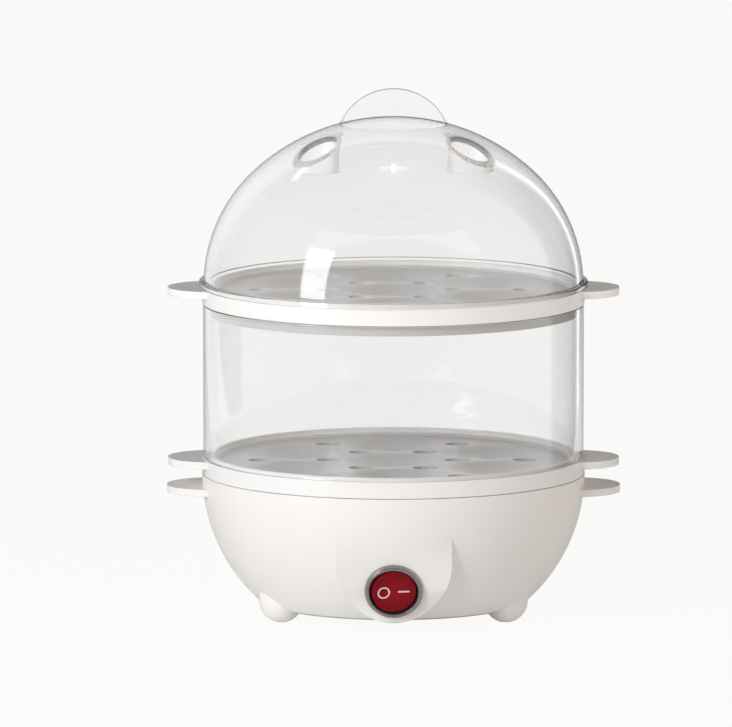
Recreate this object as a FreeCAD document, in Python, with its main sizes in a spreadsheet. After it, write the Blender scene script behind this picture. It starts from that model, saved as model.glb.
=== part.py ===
"""Two-tier electric egg boiler: a parametric model of every separate piece.

Frame: origin on the floor at the boiler's axis, +Z up, the switch faces -Y, the side tongues lie along X.
Every driving size is a named cell of the sheet "Sizes", in millimetres or degrees.
"""
import FreeCAD, Part
import Sketcher
import math
import os
import re
from FreeCAD import Placement, Rotation, Vector

X_AXIS, Y_AXIS, Z_AXIS = Vector(1, 0, 0), Vector(0, 1, 0), Vector(0, 0, 1)

SIZES = {
    "Base shell": {
        "base_clearance": 4.4, "seam_height": 56.1, "bowl_overhang": 0.2, "bowl_curve": 68.1,
        "bowl_edge_round": 6.0, "shell_wall": 2.4, "floor_wall": 3.0,
        "foot_radius": 8.8, "foot_spread_x": 44.4, "foot_spread_y": 25.0, "foot_flat_radius": 2.5,
        "foot_length": 24.0,
        "base_tongue_step": 0.5, "base_tongue_drop": 4.7, "base_tongue_thickness": 2.8,
    },
    "Switch pod": {
        "pod_half_width": 22.9, "pod_drop": 24.5, "pod_rise": 0.7, "pod_tilt": 18.5, "pod_proud": 0.2,
        "pod_wall": 2.5, "pod_apex_depth": 16.3, "pod_flat_depth": 28.0, "pod_root": 20.0,
        "switch_height": 18.7,
    },
    "Trays": {
        "tray_radius": 75.8, "ring_height": 6.75, "ring_wall": 3.1, "skirt_wall": 1.7, "skirt_drop": 4.0,
        "lip_rise": 1.3, "tray_recess": 3.0, "tray_floor": 1.8, "tray_cove": 1.6,
        "seat_pitch": 44.0, "seat_radius": 18.5, "seat_depth": 3.5, "seat_hole_radius": 5.5,
        "steam_hole_radius": 5.0, "steam_ring_inner": 25.4, "steam_ring_outer": 52.4, "seat_count": 6,
        "seat_start_angle": 30.0,
        "tongue_projection": 13.8, "tray_tongue_drop": 0.4, "tray_tongue_thickness": 2.9,
        "tongue_width": 36.0,
    },
    "Clear pieces": {
        "tier_inset": 0.3, "tier_wall": 2.2, "tier_height": 61.25,
        "dome_inset": 0.4, "dome_height": 67.2, "dome_side_curve": 62.0, "dome_wall": 2.1,
        "bead_overhang": 1.8, "bead_height": 2.3, "bead_edge": 0.6,
        "tab_radius": 23.1, "tab_rise": 11.4, "tab_thickness": 2.4,
        "vent_radius": 8.9, "vent_wall": 1.55, "vent_x": 29.9, "vent_y": 24.0, "vent_drop": 18.4,
    },
    "Inner deck and dish": {
        "deck_drop": 7.1, "deck_thickness": 2.5, "deck_gap": 0.8, "deck_width": 12.0, "deck_lip_rise": 1.8,
        "post_radius": 4.0, "post_circle": 46.0, "post_height": 13.0, "leg_gap": 1.6, "post_count": 4,
        "post_start_angle": 45.0, "seal_width": 4.5, "seal_thickness": 1.3, "seal_inset": 0.6,
        "dish_overlap": 6.2, "dish_gap": 0.4, "dish_rim_gap": 1.0, "dish_flare": 9.0, "dish_depth": 13.0,
        "dish_wall": 1.0,
    },
    "Heater": {
        "spreader_radius": 45.0, "spreader_thickness": 1.5, "element_circle": 36.0, "element_radius": 3.3,
        "element_gap_angle": 60.0, "cold_pin_radius": 1.6, "cold_pin_length": 9.0,
        "clamp_length": 86.0, "clamp_width": 9.0, "clamp_thickness": 1.4, "clamp_screw_x": 22.0,
        "thermostat_radius": 8.2, "thermostat_depth": 9.0, "thermostat_y": 16.0, "ear_length": 27.0,
        "ear_width": 7.0, "ear_thickness": 1.0, "ear_screw_x": 10.9, "blade_width": 4.8,
        "blade_thickness": 0.8, "thermostat_blade_x": 5.2, "thermostat_blade_length": 5.0,
        "fuse_radius": 2.0, "fuse_length": 22.0, "fuse_y": 17.0, "fuse_pin_radius": 0.9,
        "fuse_pin_length": 3.0, "fuse_clip_width": 8.0, "fuse_clip_wall": 0.8, "fuse_clip_foot": 7.5,
        "earth_lug_x": 21.5, "earth_lug_y": 11.5, "lug_width": 6.5, "lug_length": 12.0,
        "lug_thickness": 0.8, "lug_barrel_radius": 1.5, "lug_barrel_length": 5.0,
    },
    "Screws and cover": {
        "screw_radius": 1.5, "screw_head_radius": 2.9, "small_head_radius": 2.3, "screw_head_height": 1.5,
        "screw_clearance": 0.25,
        "deck_screw_length": 12.0, "cover_radius": 37.0, "cover_thickness": 1.6, "cover_gap": 0.3,
        "cover_opening": 32.0, "boss_radius": 4.2, "boss_circle": 33.0, "boss_height": 6.0,
        "cover_screw_length": 6.5, "boss_count": 3, "boss_start_angle": 30.0, "cover_screw_head": 1.2,
    },
    "Switch": {
        "cutout_radius": 10.1, "housing_radius": 9.95, "housing_depth": 13.0, "housing_rim": 1.2,
        "swing_radius": 9.4, "swing_depth": 6.0, "lower_bore": 8.4, "housing_floor": 1.5,
        "bezel_radius": 11.5, "bezel_height": 2.1, "bezel_inner": 9.6, "bezel_gap": 0.1,
        "rocker_radius": 9.25, "rocker_pivot": 1.0, "rocker_skirt": 3.5, "rocker_crown": 1.0,
        "rocker_hollow": 42.8, "rocker_tilt": 8.0, "pivot_pin_radius": 1.2, "pivot_pin_reach": 9.8,
        "pin_clearance": 0.05, "plunger_radius": 1.3, "plunger_length": 5.2, "plunger_tip": 7.25,
        "plunger_bore": 1.45, "plunger_bore_top": 0.2, "stem_radius": 2.6, "stem_length": 4.6,
        "spring_wire": 0.2, "spring_radius": 0.95, "spring_pitch": 0.5, "spring_gap": 0.05,
        "lamp_radius": 1.4, "lamp_length": 7.0, "lamp_x": 5.0, "lamp_depth": 1.2, "lamp_gap": 0.15,
        "lever_length": 11.0, "lever_width": 4.0, "lever_thickness": 0.6, "lever_pivot_depth": 8.7,
        "lever_tilt": 12.0, "lever_gap": 0.3, "tab_pitch": 5.5, "tab_reach": 7.0, "side_tab_top": 10.4,
        "tab_slot_gap": 0.05,
    },
    "Supply inlet": {
        "inlet_height": 22.0, "inlet_boss_radius": 9.5, "inlet_set_back": 4.0, "inlet_hole_radius": 5.2,
        "gland_flange_radius": 7.6, "gland_flange": 2.4, "gland_neck_radius": 5.1, "gland_bore": 3.3,
        "gland_tail": 5.0, "gland_tail_radius": 6.4, "inlet_wall": 3.0,
        "block_length": 26.0, "block_depth": 12.0, "block_height": 11.0, "block_set_back": 36.0,
        "block_pitch": 8.5, "block_bore": 1.3, "clamp_screw_radius": 1.8, "clamp_screw_gap": 0.5,
    },
    "Leads": {
        "lead_radius": 1.1, "lead_gap": 0.1, "lead_rise": 2.2, "lead_loop": 10.5, "switch_run": 7.0,
        "live_turn": 4.0, "switched_turn": 6.0, "switched_rise": 1.2, "fuse_lead_rise": 1.5,
        "fuse_loop_rise": 6.0, "neutral_rise": 7.0, "neutral_run": 14.0, "earth_rise": 8.4, "earth_run": 12.0,
    },
}

doc = FreeCAD.newDocument("EggBoiler")
sheet = doc.addObject("Spreadsheet::Sheet", "Sizes")
row = 1
for group, cells in SIZES.items():
    sheet.set("A%d" % row, group)
    for alias, number in cells.items():
        row += 1
        sheet.set("A%d" % row, alias.replace("_", " "))
        sheet.set("B%d" % row, str(number))
        sheet.setAlias("B%d" % row, alias)
    row += 2
doc.recompute()
ALIASES = {alias for cells in SIZES.values() for alias in cells}

# Sizes that follow from others, as formulas over the sheet's cells.
DERIVED = {
    "bowl_radius": "(tray_radius + bowl_overhang)",
    "tray_tongue_reach": "(tray_radius + tongue_projection)",
    "base_tongue_reach": "(tray_radius + tongue_projection + base_tongue_step)",
    "tier_radius": "(tray_radius - tier_inset)",
    "dome_radius": "(tray_radius - dome_inset)",
    "bead_radius": "(dome_radius + bead_overhang)",
    "deck_opening": "(bowl_radius - deck_width)",
    "dish_rim_radius": "(deck_opening - dish_rim_gap)",
    "dish_floor_radius": "(dish_rim_radius - dish_flare)",
    "dish_flange_radius": "(deck_opening + dish_overlap)",
    "deck_lip_radius": "(dish_flange_radius + dish_gap)",
    "inlet_face": "(bowl_radius - inlet_set_back)",
    "block_y": "(bowl_radius - block_set_back)",
}


# Heights and places that several pieces share, as formulas over the sheet's cells.
SEAM = "seam_height"
INNER_FLOOR = "(base_clearance + floor_wall)"
LEDGE = "(seam_height + ring_height)"
DOME_SEAT = "(seam_height + 2 * ring_height + tier_height)"
TIER_PITCH = "(ring_height + tier_height)"
DECK_TOP = "(seam_height - deck_drop)"
DISH_FLANGE = "(seam_height - deck_drop + seal_thickness)"
DISH_UNDERSIDE = "(seam_height - deck_drop + seal_thickness - dish_depth - dish_wall)"
SPREADER_UNDERSIDE = "(seam_height - deck_drop + seal_thickness - dish_depth - dish_wall - spreader_thickness)"
FACE_OFFSET = ("(bowl_radius - bowl_curve + (bowl_curve + pod_proud) / cos(pod_tilt * 1 deg)"
               " - (seam_height - switch_height) * tan(pod_tilt * 1 deg))")
SKIRT_RADIUS = "(tray_radius - ring_wall)"
DOME_CROWN = ("((dome_radius ^ 2 + dome_height ^ 2 - 2 * dome_radius * dome_side_curve)"
              " / (2 * (dome_height - dome_side_curve)))")
BLOCK_MIDDLE = "(base_clearance + floor_wall + block_height / 2)"
LUG_BARREL_Y = "(earth_lug_y + lug_length / 2 - lug_width / 2)"


def bound(expression):
    """The same formula with every derived size written out and every alias written as a cell of the sheet."""
    def written(word):
        name = word.group()
        if name in DERIVED:
            return bound(DERIVED[name])
        return "Sizes." + name if name in ALIASES else name
    return re.sub(r"[a-z_]+", written, expression)


def size(expression):
    """The number that a formula over the sheet's cells has now."""
    return float(sheet.evalExpression(bound(expression)))


def bind(thing, **formulas):
    """Ties each named property of an object to a formula."""
    for name, formula in formulas.items():
        thing.setExpression(name, bound(formula))


def place(thing, x="0", y="0", z="0"):
    """Ties an object's position to three formulas."""
    for axis, formula in zip("xyz", (x, y, z)):
        if formula != "0":
            thing.setExpression("Placement.Base." + axis, bound(formula))
    return thing


def turn(thing, axis, angle):
    """Turns an object about an axis through its own position, by a formula in degrees."""
    thing.Placement = Placement(thing.Placement.Base, Rotation(axis, 10))
    thing.setExpression("Placement.Rotation.Angle", bound("(" + angle + ") * 1 deg"))
    return thing


def cylinder(radius, height, x="0", y="0", z="0", axis=None, angle="90"):
    """A cylinder that starts at a point and runs along +Z, or along +Z turned about an axis."""
    solid = doc.addObject("Part::Cylinder", "Rod")
    bind(solid, Radius=radius, Height=height)
    place(solid, x, y, z)
    return turn(solid, axis, angle) if axis else solid


def cone(bottom, top, height, x="0", y="0", z="0"):
    """An upright cone."""
    solid = doc.addObject("Part::Cone", "Taper")
    bind(solid, Radius1=bottom, Radius2=top, Height=height)
    return place(solid, x, y, z)


def box(length, width, height, x="0", y="0", z="0"):
    """A box centred on x and y, standing on z."""
    solid = doc.addObject("Part::Box", "Block")
    bind(solid, Length=length, Width=width, Height=height)
    return place(solid, "(%s) - (%s) / 2" % (x, length), "(%s) - (%s) / 2" % (y, width), z)


def ball(radius, x="0", y="0", z="0"):
    """A sphere."""
    solid = doc.addObject("Part::Sphere", "Ball")
    bind(solid, Radius=radius)
    return place(solid, x, y, z)


def fuse(*solids):
    """The union of solids."""
    result = doc.addObject("Part::MultiFuse", "Union")
    result.Shapes = list(solids)
    return result


def cut(solid, *tools):
    """A solid less the tools."""
    result = doc.addObject("Part::Cut", "Difference")
    result.Base = solid
    result.Tool = tools[0] if len(tools) == 1 else group_of(*tools)
    return result


def common(first, second):
    """What two solids share."""
    result = doc.addObject("Part::MultiCommon", "Overlap")
    result.Shapes = [first, second]
    return result


def group_of(*solids):
    """Separate solids held in one compound."""
    result = doc.addObject("Part::Compound", "Group")
    result.Links = list(solids)
    return result


def made(label, shape):
    """A piece whose shape is worked out by Part's own functions."""
    feature = doc.addObject("Part::Feature", label)
    feature.Shape = shape
    return feature


def origin_plane(body, role):
    """One of a body's own origin planes."""
    return next(item for item in body.Origin.OriginFeatures if item.Role == role)


def outline(sketch, corners, arcs=None):
    """Draws a closed outline. Each corner is a pair of formulas, and one of the two may be None beside an arc.

    arcs maps a corner's index to (centre x, centre y, radius) of the counterclockwise arc that leaves it."""
    arcs = arcs or {}
    count = len(corners)
    points = []
    for index, (across, up) in enumerate(corners):
        arc = arcs.get(index) or arcs.get((index - 1) % count)
        if across is None:
            reach = size(arc[2]) ** 2 - (size(up) - size(arc[1])) ** 2
            points.append(Vector(size(arc[0]) + math.sqrt(max(reach, 0.0)), size(up), 0))
        elif up is None:
            reach = size(arc[2]) ** 2 - (size(across) - size(arc[0])) ** 2
            points.append(Vector(size(across), size(arc[1]) + math.sqrt(max(reach, 0.0)), 0))
        else:
            points.append(Vector(size(across), size(up), 0))
    for index in range(count):
        start, end = points[index], points[(index + 1) % count]
        if index in arcs:
            centre = Vector(size(arcs[index][0]), size(arcs[index][1]), 0)
            circle = Part.Circle(centre, Z_AXIS, size(arcs[index][2]))
            angles = [math.atan2(point.y - centre.y, point.x - centre.x) for point in (start, end)]
            sketch.addGeometry(Part.ArcOfCircle(circle, angles[0], angles[1]), False)
        else:
            sketch.addGeometry(Part.LineSegment(start, end), False)
    for index in range(count):
        sketch.addConstraint(Sketcher.Constraint("Coincident", index, 2, (index + 1) % count, 1))
    for index, pair in enumerate(corners):
        for kind, formula in zip("XY", pair):
            if formula is not None:
                hold(sketch, index, 1, kind, formula)
    for index, (across, up, radius) in arcs.items():
        hold(sketch, index, 3, "X", across)
        hold(sketch, index, 3, "Y", up)
        if None in corners[index] and None in corners[(index + 1) % count]:
            constraint = sketch.addConstraint(Sketcher.Constraint("Radius", index, size(radius)))
            name_and_bind(sketch, constraint, "radius%d" % index, radius)


def hold(sketch, line, point, kind, formula):
    """Ties one coordinate of a sketch point to a formula."""
    if formula == "0":
        axis = -2 if kind == "X" else -1
        sketch.addConstraint(Sketcher.Constraint("PointOnObject", line, point, axis))
        return
    constraint = Sketcher.Constraint("Distance" + kind, -1, 1, line, point, size(formula))
    name_and_bind(sketch, sketch.addConstraint(constraint), "line%dpoint%d%s" % (line, point, kind), formula)


def name_and_bind(sketch, index, name, formula):
    """Names a constraint and ties it to a formula."""
    sketch.renameConstraint(index, name)
    sketch.setExpression("Constraints." + name, bound(formula))


def sketch_on(body, role):
    """A new sketch on one of a body's origin planes."""
    sketch = body.newObject("Sketcher::SketchObject", "Profile")
    sketch.AttachmentSupport = [(origin_plane(body, role), "")]
    sketch.MapMode = "FlatFace"
    return sketch


def revolved(name, corners, arcs=None):
    """A body turned about the Z axis from an outline of (radius, height) corners."""
    body = doc.addObject("PartDesign::Body", name)
    sketch = sketch_on(body, "XZ_Plane")
    outline(sketch, corners, arcs)
    feature = body.newObject("PartDesign::Revolution", "Turned")
    feature.Profile = sketch
    feature.ReferenceAxis = (sketch, ["V_Axis"])
    feature.Angle = 360.0
    doc.recompute()
    return body


def tongues(name, reach, thickness, bottom):
    """The bar whose round ends are the two side tongues, as a padded slot."""
    body = doc.addObject("PartDesign::Body", name)
    sketch = sketch_on(body, "XY_Plane")
    radius = size("tongue_width") / 2
    middle = size(reach) - radius
    quarter = math.pi / 2
    sketch.addGeometry(Part.ArcOfCircle(Part.Circle(Vector(middle, 0, 0), Z_AXIS, radius), -quarter, quarter))
    sketch.addGeometry(Part.LineSegment(Vector(middle, radius, 0), Vector(-middle, radius, 0)))
    sketch.addGeometry(Part.ArcOfCircle(Part.Circle(Vector(-middle, 0, 0), Z_AXIS, radius), quarter, 3 * quarter))
    sketch.addGeometry(Part.LineSegment(Vector(-middle, -radius, 0), Vector(middle, -radius, 0)))
    for index in range(4):
        sketch.addConstraint(Sketcher.Constraint("Tangent", index, 2, (index + 1) % 4, 1))
    sketch.addConstraint(Sketcher.Constraint("PointOnObject", 0, 3, -1))
    sketch.addConstraint(Sketcher.Constraint("Horizontal", 1))
    sketch.addConstraint(Sketcher.Constraint("Symmetric", 0, 3, 2, 3, -1, 1))
    place_of = sketch.addConstraint(Sketcher.Constraint("Radius", 0, radius))
    name_and_bind(sketch, place_of, "end_radius", "tongue_width / 2")
    place_of = sketch.addConstraint(Sketcher.Constraint("DistanceX", -1, 1, 0, 3, middle))
    name_and_bind(sketch, place_of, "end_centre", reach + " - tongue_width / 2")
    pad = body.newObject("PartDesign::Pad", "Slab")
    pad.Profile = sketch
    bind(pad, Length=thickness)
    place(body, z=bottom)
    doc.recompute()
    return body


def ring(outer, inner, height, z, name="Ring"):
    """A plain turned ring."""
    top = "(%s) + (%s)" % (z, height)
    return revolved(name, [(inner, z), (outer, z), (outer, top), (inner, top)])


def finish(label, piece):
    """Gives a sub-part its label, which names its file."""
    piece.Label = label
    PARTS[label] = piece
    return piece


def around(maker, count, radius, start_angle):
    """Copies of a solid on a circle. The maker takes the formulas of x and y."""
    copies = []
    for index in range(int(size(count))):
        angle = "(%s + %d * 360 / %s) * 1 deg" % (start_angle, index, count)
        copies.append(maker("%s * cos(%s)" % (radius, angle), "%s * sin(%s)" % (radius, angle)))
    return copies


PARTS = {}


# ---------------------------------------------------------------- base shell

def bowl_reach(depth, wall=0.0):
    """The bowl's radius at a depth below the seam, with the wall taken off."""
    curve = size("bowl_curve") - wall
    return size("bowl_radius - bowl_curve") + math.sqrt(curve ** 2 - depth ** 2)


def face_reach(depth, inset=0.0):
    """How far in front of the axis the pod's flat face lies at a depth below the seam."""
    tilt = math.radians(size("pod_tilt"))
    across = size("bowl_radius - bowl_curve")
    return across + (size("bowl_curve + pod_proud") - inset) / math.cos(tilt) - depth * math.tan(tilt)


def pod_prism(half_width, drop, bottom, top, inset):
    """The pod's U-shaped outline pushed forward to its tilted face, set back by the inset."""
    middle = bottom + drop
    centre = Vector(0, 0, middle)
    if drop > half_width:
        oval = Part.Ellipse(Vector(0, 0, middle - drop), Vector(half_width, 0, middle), centre)
        arc = Part.Arc(oval, -math.pi / 2, math.pi / 2).toShape()
    else:
        oval = Part.Ellipse(Vector(half_width, 0, middle), Vector(0, 0, middle - drop), centre)
        arc = Part.Arc(oval, 0, math.pi).toShape()
    left, right = Vector(-half_width, 0, middle), Vector(half_width, 0, middle)
    upper_left, upper_right = Vector(-half_width, 0, top), Vector(half_width, 0, top)
    edges = [Part.makeLine(left, upper_left), Part.makeLine(upper_left, upper_right),
             Part.makeLine(upper_right, right)]
    if arc.CenterOfMass.z > middle:
        arc = arc.mirror(centre, Z_AXIS)
    outline_face = Part.Face(Part.Wire(Part.__sortEdges__([arc] + edges)))
    root = size("pod_root")
    prism = outline_face.extrude(Vector(0, -size("bowl_radius + pod_half_width"), 0))
    prism = prism.cut(Part.makeBox(400, root, 400, Vector(-200, -root, -200)))
    return prism.common(behind_face(inset))


def behind_face(inset):
    """The half space behind the pod's tilted face, as a large block."""
    reach = 400.0
    block = Part.makeBox(reach, reach, reach, Vector(-reach / 2, -reach / 2, -reach))
    block.rotate(Vector(), X_AXIS, 90 + size("pod_tilt"))
    block.translate(Vector(0, -face_reach(size("seam_height"), inset), 0))
    return block


def pod_front():
    """A smooth block whose front grows out of the bowl's curve into a flat face further down."""
    half_width = size("pod_half_width")
    apex, flat = size("pod_apex_depth"), size("pod_flat_depth")
    sink, lift = 0.05, 0.1
    merge = bowl_reach(apex) - sink
    first_sagitta = merge - math.sqrt(merge ** 2 - half_width ** 2)
    sections = [(apex / 2, bowl_reach(apex / 2) - 1.0, first_sagitta), (apex, merge, first_sagitta)]
    steps = 3
    for step in range(1, steps + 1):
        depth = apex + (flat - apex) * step / steps
        sections.append((depth, face_reach(depth) + lift, first_sagitta * (1 - step / steps)))
    for depth in (flat + 8, size("seam_height")):
        sections.append((depth, face_reach(depth) + lift, 0.0))
    wires = []
    for depth, middle, sagitta in sections:
        height = size("seam_height") - depth
        edge = -(middle - sagitta)
        back = -size("pod_root")
        left, right = Vector(-half_width, edge, height), Vector(half_width, edge, height)
        if sagitta > 0:
            front = Part.Arc(left, Vector(0, -middle, height), right).toShape()
        else:
            front = Part.makeLine(left, right)
        far_right, far_left = Vector(half_width, back, height), Vector(-half_width, back, height)
        wires.append(Part.Wire([front, Part.makeLine(right, far_right), Part.makeLine(far_right, far_left),
                                Part.makeLine(far_left, left)]))
    return Part.makeLoft(wires, True, False)


def base_pod():
    """The switch pod's outer form."""
    half_width, drop = size("pod_half_width"), size("pod_drop")
    bottom = size("base_clearance + pod_rise")
    return made("PodForm", pod_prism(half_width, drop, bottom, size(SEAM), 0.0).common(pod_front()))


def base_pod_hollow():
    """The room inside the pod."""
    wall = size("pod_wall")
    half_width, drop = size("pod_half_width") - wall, size("pod_drop") - wall
    bottom = max(size("base_clearance + pod_rise") + wall, size(INNER_FLOOR))
    top = size("seam_height - pod_apex_depth") - 3 * wall
    return made("PodHollow", pod_prism(half_width, drop, bottom, top, wall))


def bowl(name, wall, bottom, top):
    """A solid of the bowl's form, its wall taken off, between two heights."""
    radius, curve = "(bowl_radius - %s)" % wall, "(bowl_curve - %s)" % wall
    middle = "bowl_radius - bowl_curve"
    corners = [("0", bottom), (None, bottom), (radius, SEAM), (radius, top), ("0", top)]
    if top == SEAM:
        corners.pop(3)
    corners[2] = (None, SEAM)
    return revolved(name, corners, {1: (middle, SEAM, curve)})


def base_shell():
    """The moulded base: bowl, tongues, switch pod, stub feet and the inlet's boss, hollowed out."""
    outside = bowl("BowlForm", "0", "base_clearance", SEAM)
    turned = outside.Tip
    level = size("base_clearance")
    names = ["Edge%d" % (index + 1) for index, edge in enumerate(turned.Shape.Edges)
             if abs(edge.BoundBox.ZMin - level) < 0.01 and edge.BoundBox.ZLength < 0.01]
    rounding = outside.newObject("PartDesign::Fillet", "UnderEdge")
    rounding.Base = (turned, names)
    bind(rounding, Radius="bowl_edge_round")
    outside.Tip = rounding
    feet = []
    for side_x in (1, -1):
        for side_y in (1, -1):
            x, y = "%d * foot_spread_x" % side_x, "%d * foot_spread_y" % side_y
            centre = "sqrt(foot_radius ^ 2 - foot_flat_radius ^ 2)"
            tip = cut(ball("foot_radius", x, y, centre),
                      box("4 * foot_radius", "4 * foot_radius", "2 * foot_radius", x, y, "-2 * foot_radius"))
            feet += [tip, cylinder("foot_radius", "foot_length - " + centre, x, y, centre)]
    bar = tongues("BaseTongues", "base_tongue_reach", "base_tongue_thickness",
                  "seam_height - base_tongue_drop - base_tongue_thickness")
    boss = cylinder("inlet_boss_radius", "inlet_face - pod_root", y="pod_root", z="inlet_height",
                    axis=X_AXIS, angle="-90")
    pod = base_pod()
    doc.recompute()
    solid = fuse(outside, bar, pod, boss, *feet)
    hollow = bowl("BowlHollow", "shell_wall", INNER_FLOOR, "(seam_height + shell_wall)")
    inlet_room = cylinder("inlet_boss_radius - shell_wall", "inlet_face - inlet_wall - pod_root",
                          y="pod_root", z="inlet_height", axis=X_AXIS, angle="-90")
    inlet_hole = cylinder("inlet_hole_radius", "inlet_face", y="pod_root", z="inlet_height",
                          axis=X_AXIS, angle="-90")
    switch_hole = cylinder("cutout_radius", "3 * pod_wall", z="-2 * pod_wall")
    on_face(switch_hole)
    switch_hole.setExpression("Placement.Base.y", bound("-%s + 2 * pod_wall * cos(pod_tilt * 1 deg)"
                                                        % FACE_OFFSET))
    switch_hole.setExpression("Placement.Base.z", bound("switch_height + 2 * pod_wall * sin(pod_tilt * 1 deg)"))
    opening = cylinder("cover_opening", "3 * floor_wall", z="base_clearance - floor_wall")
    rebate = cylinder("cover_radius + cover_gap", "base_clearance + cover_thickness")
    wells = []
    for maker in (lambda x, y: cylinder("screw_radius + screw_clearance", "2 * floor_wall", x, y,
                                        "base_clearance - 1"),
                  lambda x, y: cylinder("screw_head_radius + screw_clearance",
                                        "base_clearance + screw_head_height", x, y)):
        wells += around(maker, "post_count", "post_circle", "post_start_angle")
    shelled = cut(solid, hollow, base_pod_hollow(), inlet_room, inlet_hole, switch_hole, opening, rebate, *wells)
    bosses = [cylinder("boss_radius", "boss_height", x, y, "base_clearance + cover_thickness")
              for x, y in boss_places()]
    pilots = [cylinder("screw_radius", "2 * boss_height", x, y, "base_clearance") for x, y in boss_places()]
    finish("base_shell", cut(fuse(shelled, *bosses), *pilots))


def boss_places():
    """Where the bottom cover's screws stand."""
    return around(lambda x, y: (x, y), "boss_count", "boss_circle", "boss_start_angle")


def on_face(thing):
    """Stands an object on the pod's face: its +Z looks out of the face and its +Y up along it."""
    turn(thing, X_AXIS, "90 + pod_tilt")
    return place(thing, y="-" + FACE_OFFSET, z="switch_height")


def bottom_cover():
    """The flush disc under the base, with countersunk holes."""
    disc = cylinder("cover_radius", "cover_thickness", z="base_clearance")
    holes = []
    for x, y in boss_places():
        holes.append(cylinder("screw_radius + screw_clearance", "4 * cover_thickness", x, y))
        holes.append(cone("screw_head_radius + screw_clearance", "screw_radius + screw_clearance",
                          "cover_screw_head", x, y, "base_clearance"))
    finish("bottom_cover", cut(disc, *holes))
    screws = [fuse(cone("screw_head_radius", "screw_radius", "cover_screw_head", x, y, "base_clearance"),
                   cylinder("screw_radius", "cover_screw_length", x, y, "base_clearance"))
              for x, y in boss_places()]
    finish("cover_screws", group_of(*screws))


# ---------------------------------------------------------------- deck, dish and heater

def deck_ring():
    """The inner deck that carries the dish, on four screw posts."""
    edge = "(bowl_radius - shell_wall - deck_gap)"
    under = "(%s - deck_thickness)" % DECK_TOP
    lip = "(%s + deck_lip_rise)" % DECK_TOP
    plate = revolved("DeckPlate", [("deck_opening", under), (edge, under), (edge, lip),
                                   ("deck_lip_radius", lip), ("deck_lip_radius", DECK_TOP),
                                   ("deck_opening", DECK_TOP)])
    cold = "(%s - leg_gap)" % SPREADER_UNDERSIDE
    profile = revolved("LegProfile", [
        ("post_circle - post_radius", INNER_FLOOR), ("post_circle", INNER_FLOOR),
        ("dish_rim_radius + leg_gap / 2", "%s - dish_depth" % DECK_TOP), ("deck_opening + post_radius", under),
        ("dish_rim_radius + leg_gap / 2", under), ("dish_floor_radius + leg_gap / 2", cold),
        ("post_circle - post_radius", cold)])
    plates = []
    for angle in ("post_start_angle", "post_start_angle + 90"):
        plate_box = box("4 * post_circle", "post_radius", SEAM)
        plates.append(turn(group_of(plate_box), Z_AXIS, angle))
    legs = common(profile, fuse(*plates))
    posts = around(lambda x, y: cylinder("post_radius", "post_height", x, y, INNER_FLOOR),
                   "post_count", "post_circle", "post_start_angle")
    pieces = [plate, legs] + posts
    holes = around(lambda x, y: cylinder("screw_radius", "deck_screw_length", x, y, INNER_FLOOR),
                   "post_count", "post_circle", "post_start_angle")
    finish("deck_ring", cut(fuse(*pieces), *holes))
    screws = around(
        lambda x, y: fuse(cylinder("screw_head_radius", "screw_head_height", x, y, "base_clearance"),
                          cylinder("screw_radius", "deck_screw_length", x, y, "base_clearance")),
        "post_count", "post_circle", "post_start_angle")
    finish("deck_screws", group_of(*screws))


def heating_dish():
    """The pressed metal dish that holds the water, on its silicone seal."""
    finish("dish_seal", ring("deck_opening + seal_inset + seal_width", "deck_opening + seal_inset", "seal_thickness",
                             DECK_TOP, "SealRing"))
    top = "(%s + dish_wall)" % DISH_FLANGE
    finish("heating_dish", revolved("DishTurned", [
        ("0", DISH_UNDERSIDE), ("dish_floor_radius", DISH_UNDERSIDE), ("dish_rim_radius", DISH_FLANGE),
        ("dish_flange_radius", DISH_FLANGE), ("dish_flange_radius", top), ("dish_rim_radius - dish_wall", top),
        ("dish_floor_radius - dish_wall", "(%s + dish_wall)" % DISH_UNDERSIDE),
        ("0", "(%s + dish_wall)" % DISH_UNDERSIDE)]))


def heater():
    """The spreader, the tubular element under it, and the bar that clamps it."""
    finish("heat_spreader", cylinder("spreader_radius", "spreader_thickness", z=SPREADER_UNDERSIDE))
    middle = "(%s - element_radius)" % SPREADER_UNDERSIDE
    loop = doc.addObject("Part::Torus", "Loop")
    bind(loop, Radius1="element_circle", Radius2="element_radius",
         Angle3="(360 - element_gap_angle) * 1 deg")
    turn(loop, Z_AXIS, "90 + element_gap_angle / 2")
    place(loop, z=middle)
    pins = [cylinder("cold_pin_radius", "cold_pin_length", x, y, "%s - cold_pin_length" % middle)
            for x, y in element_ends()]
    caps = [ball("element_radius", x, y, middle) for x, y in element_ends()]
    finish("heating_element", fuse(loop, *pins, *caps))
    clamp_top = "(%s - 2 * element_radius)" % SPREADER_UNDERSIDE
    bar = box("clamp_length", "clamp_width", "clamp_thickness", z=clamp_top + " - clamp_thickness")
    pads = [cylinder("clamp_width / 2", "2 * element_radius + clamp_thickness", "%d * clamp_screw_x" % side,
                     "0", clamp_top + " - clamp_thickness") for side in (1, -1)]
    bores = [cylinder("screw_radius + screw_clearance", "4 * element_radius", "%d * clamp_screw_x" % side,
                      "0", clamp_top + " - element_radius") for side in (1, -1)]
    finish("element_clamp", cut(fuse(bar, *pads), *bores))
    heads = [fuse(cylinder("screw_head_radius", "screw_head_height", "%d * clamp_screw_x" % side, "0",
                           clamp_top + " - clamp_thickness - screw_head_height"),
                  cylinder("screw_radius", "2 * element_radius + clamp_thickness", "%d * clamp_screw_x" % side,
                           "0", clamp_top + " - clamp_thickness")) for side in (1, -1)]
    finish("clamp_screws", group_of(*heads))


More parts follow.
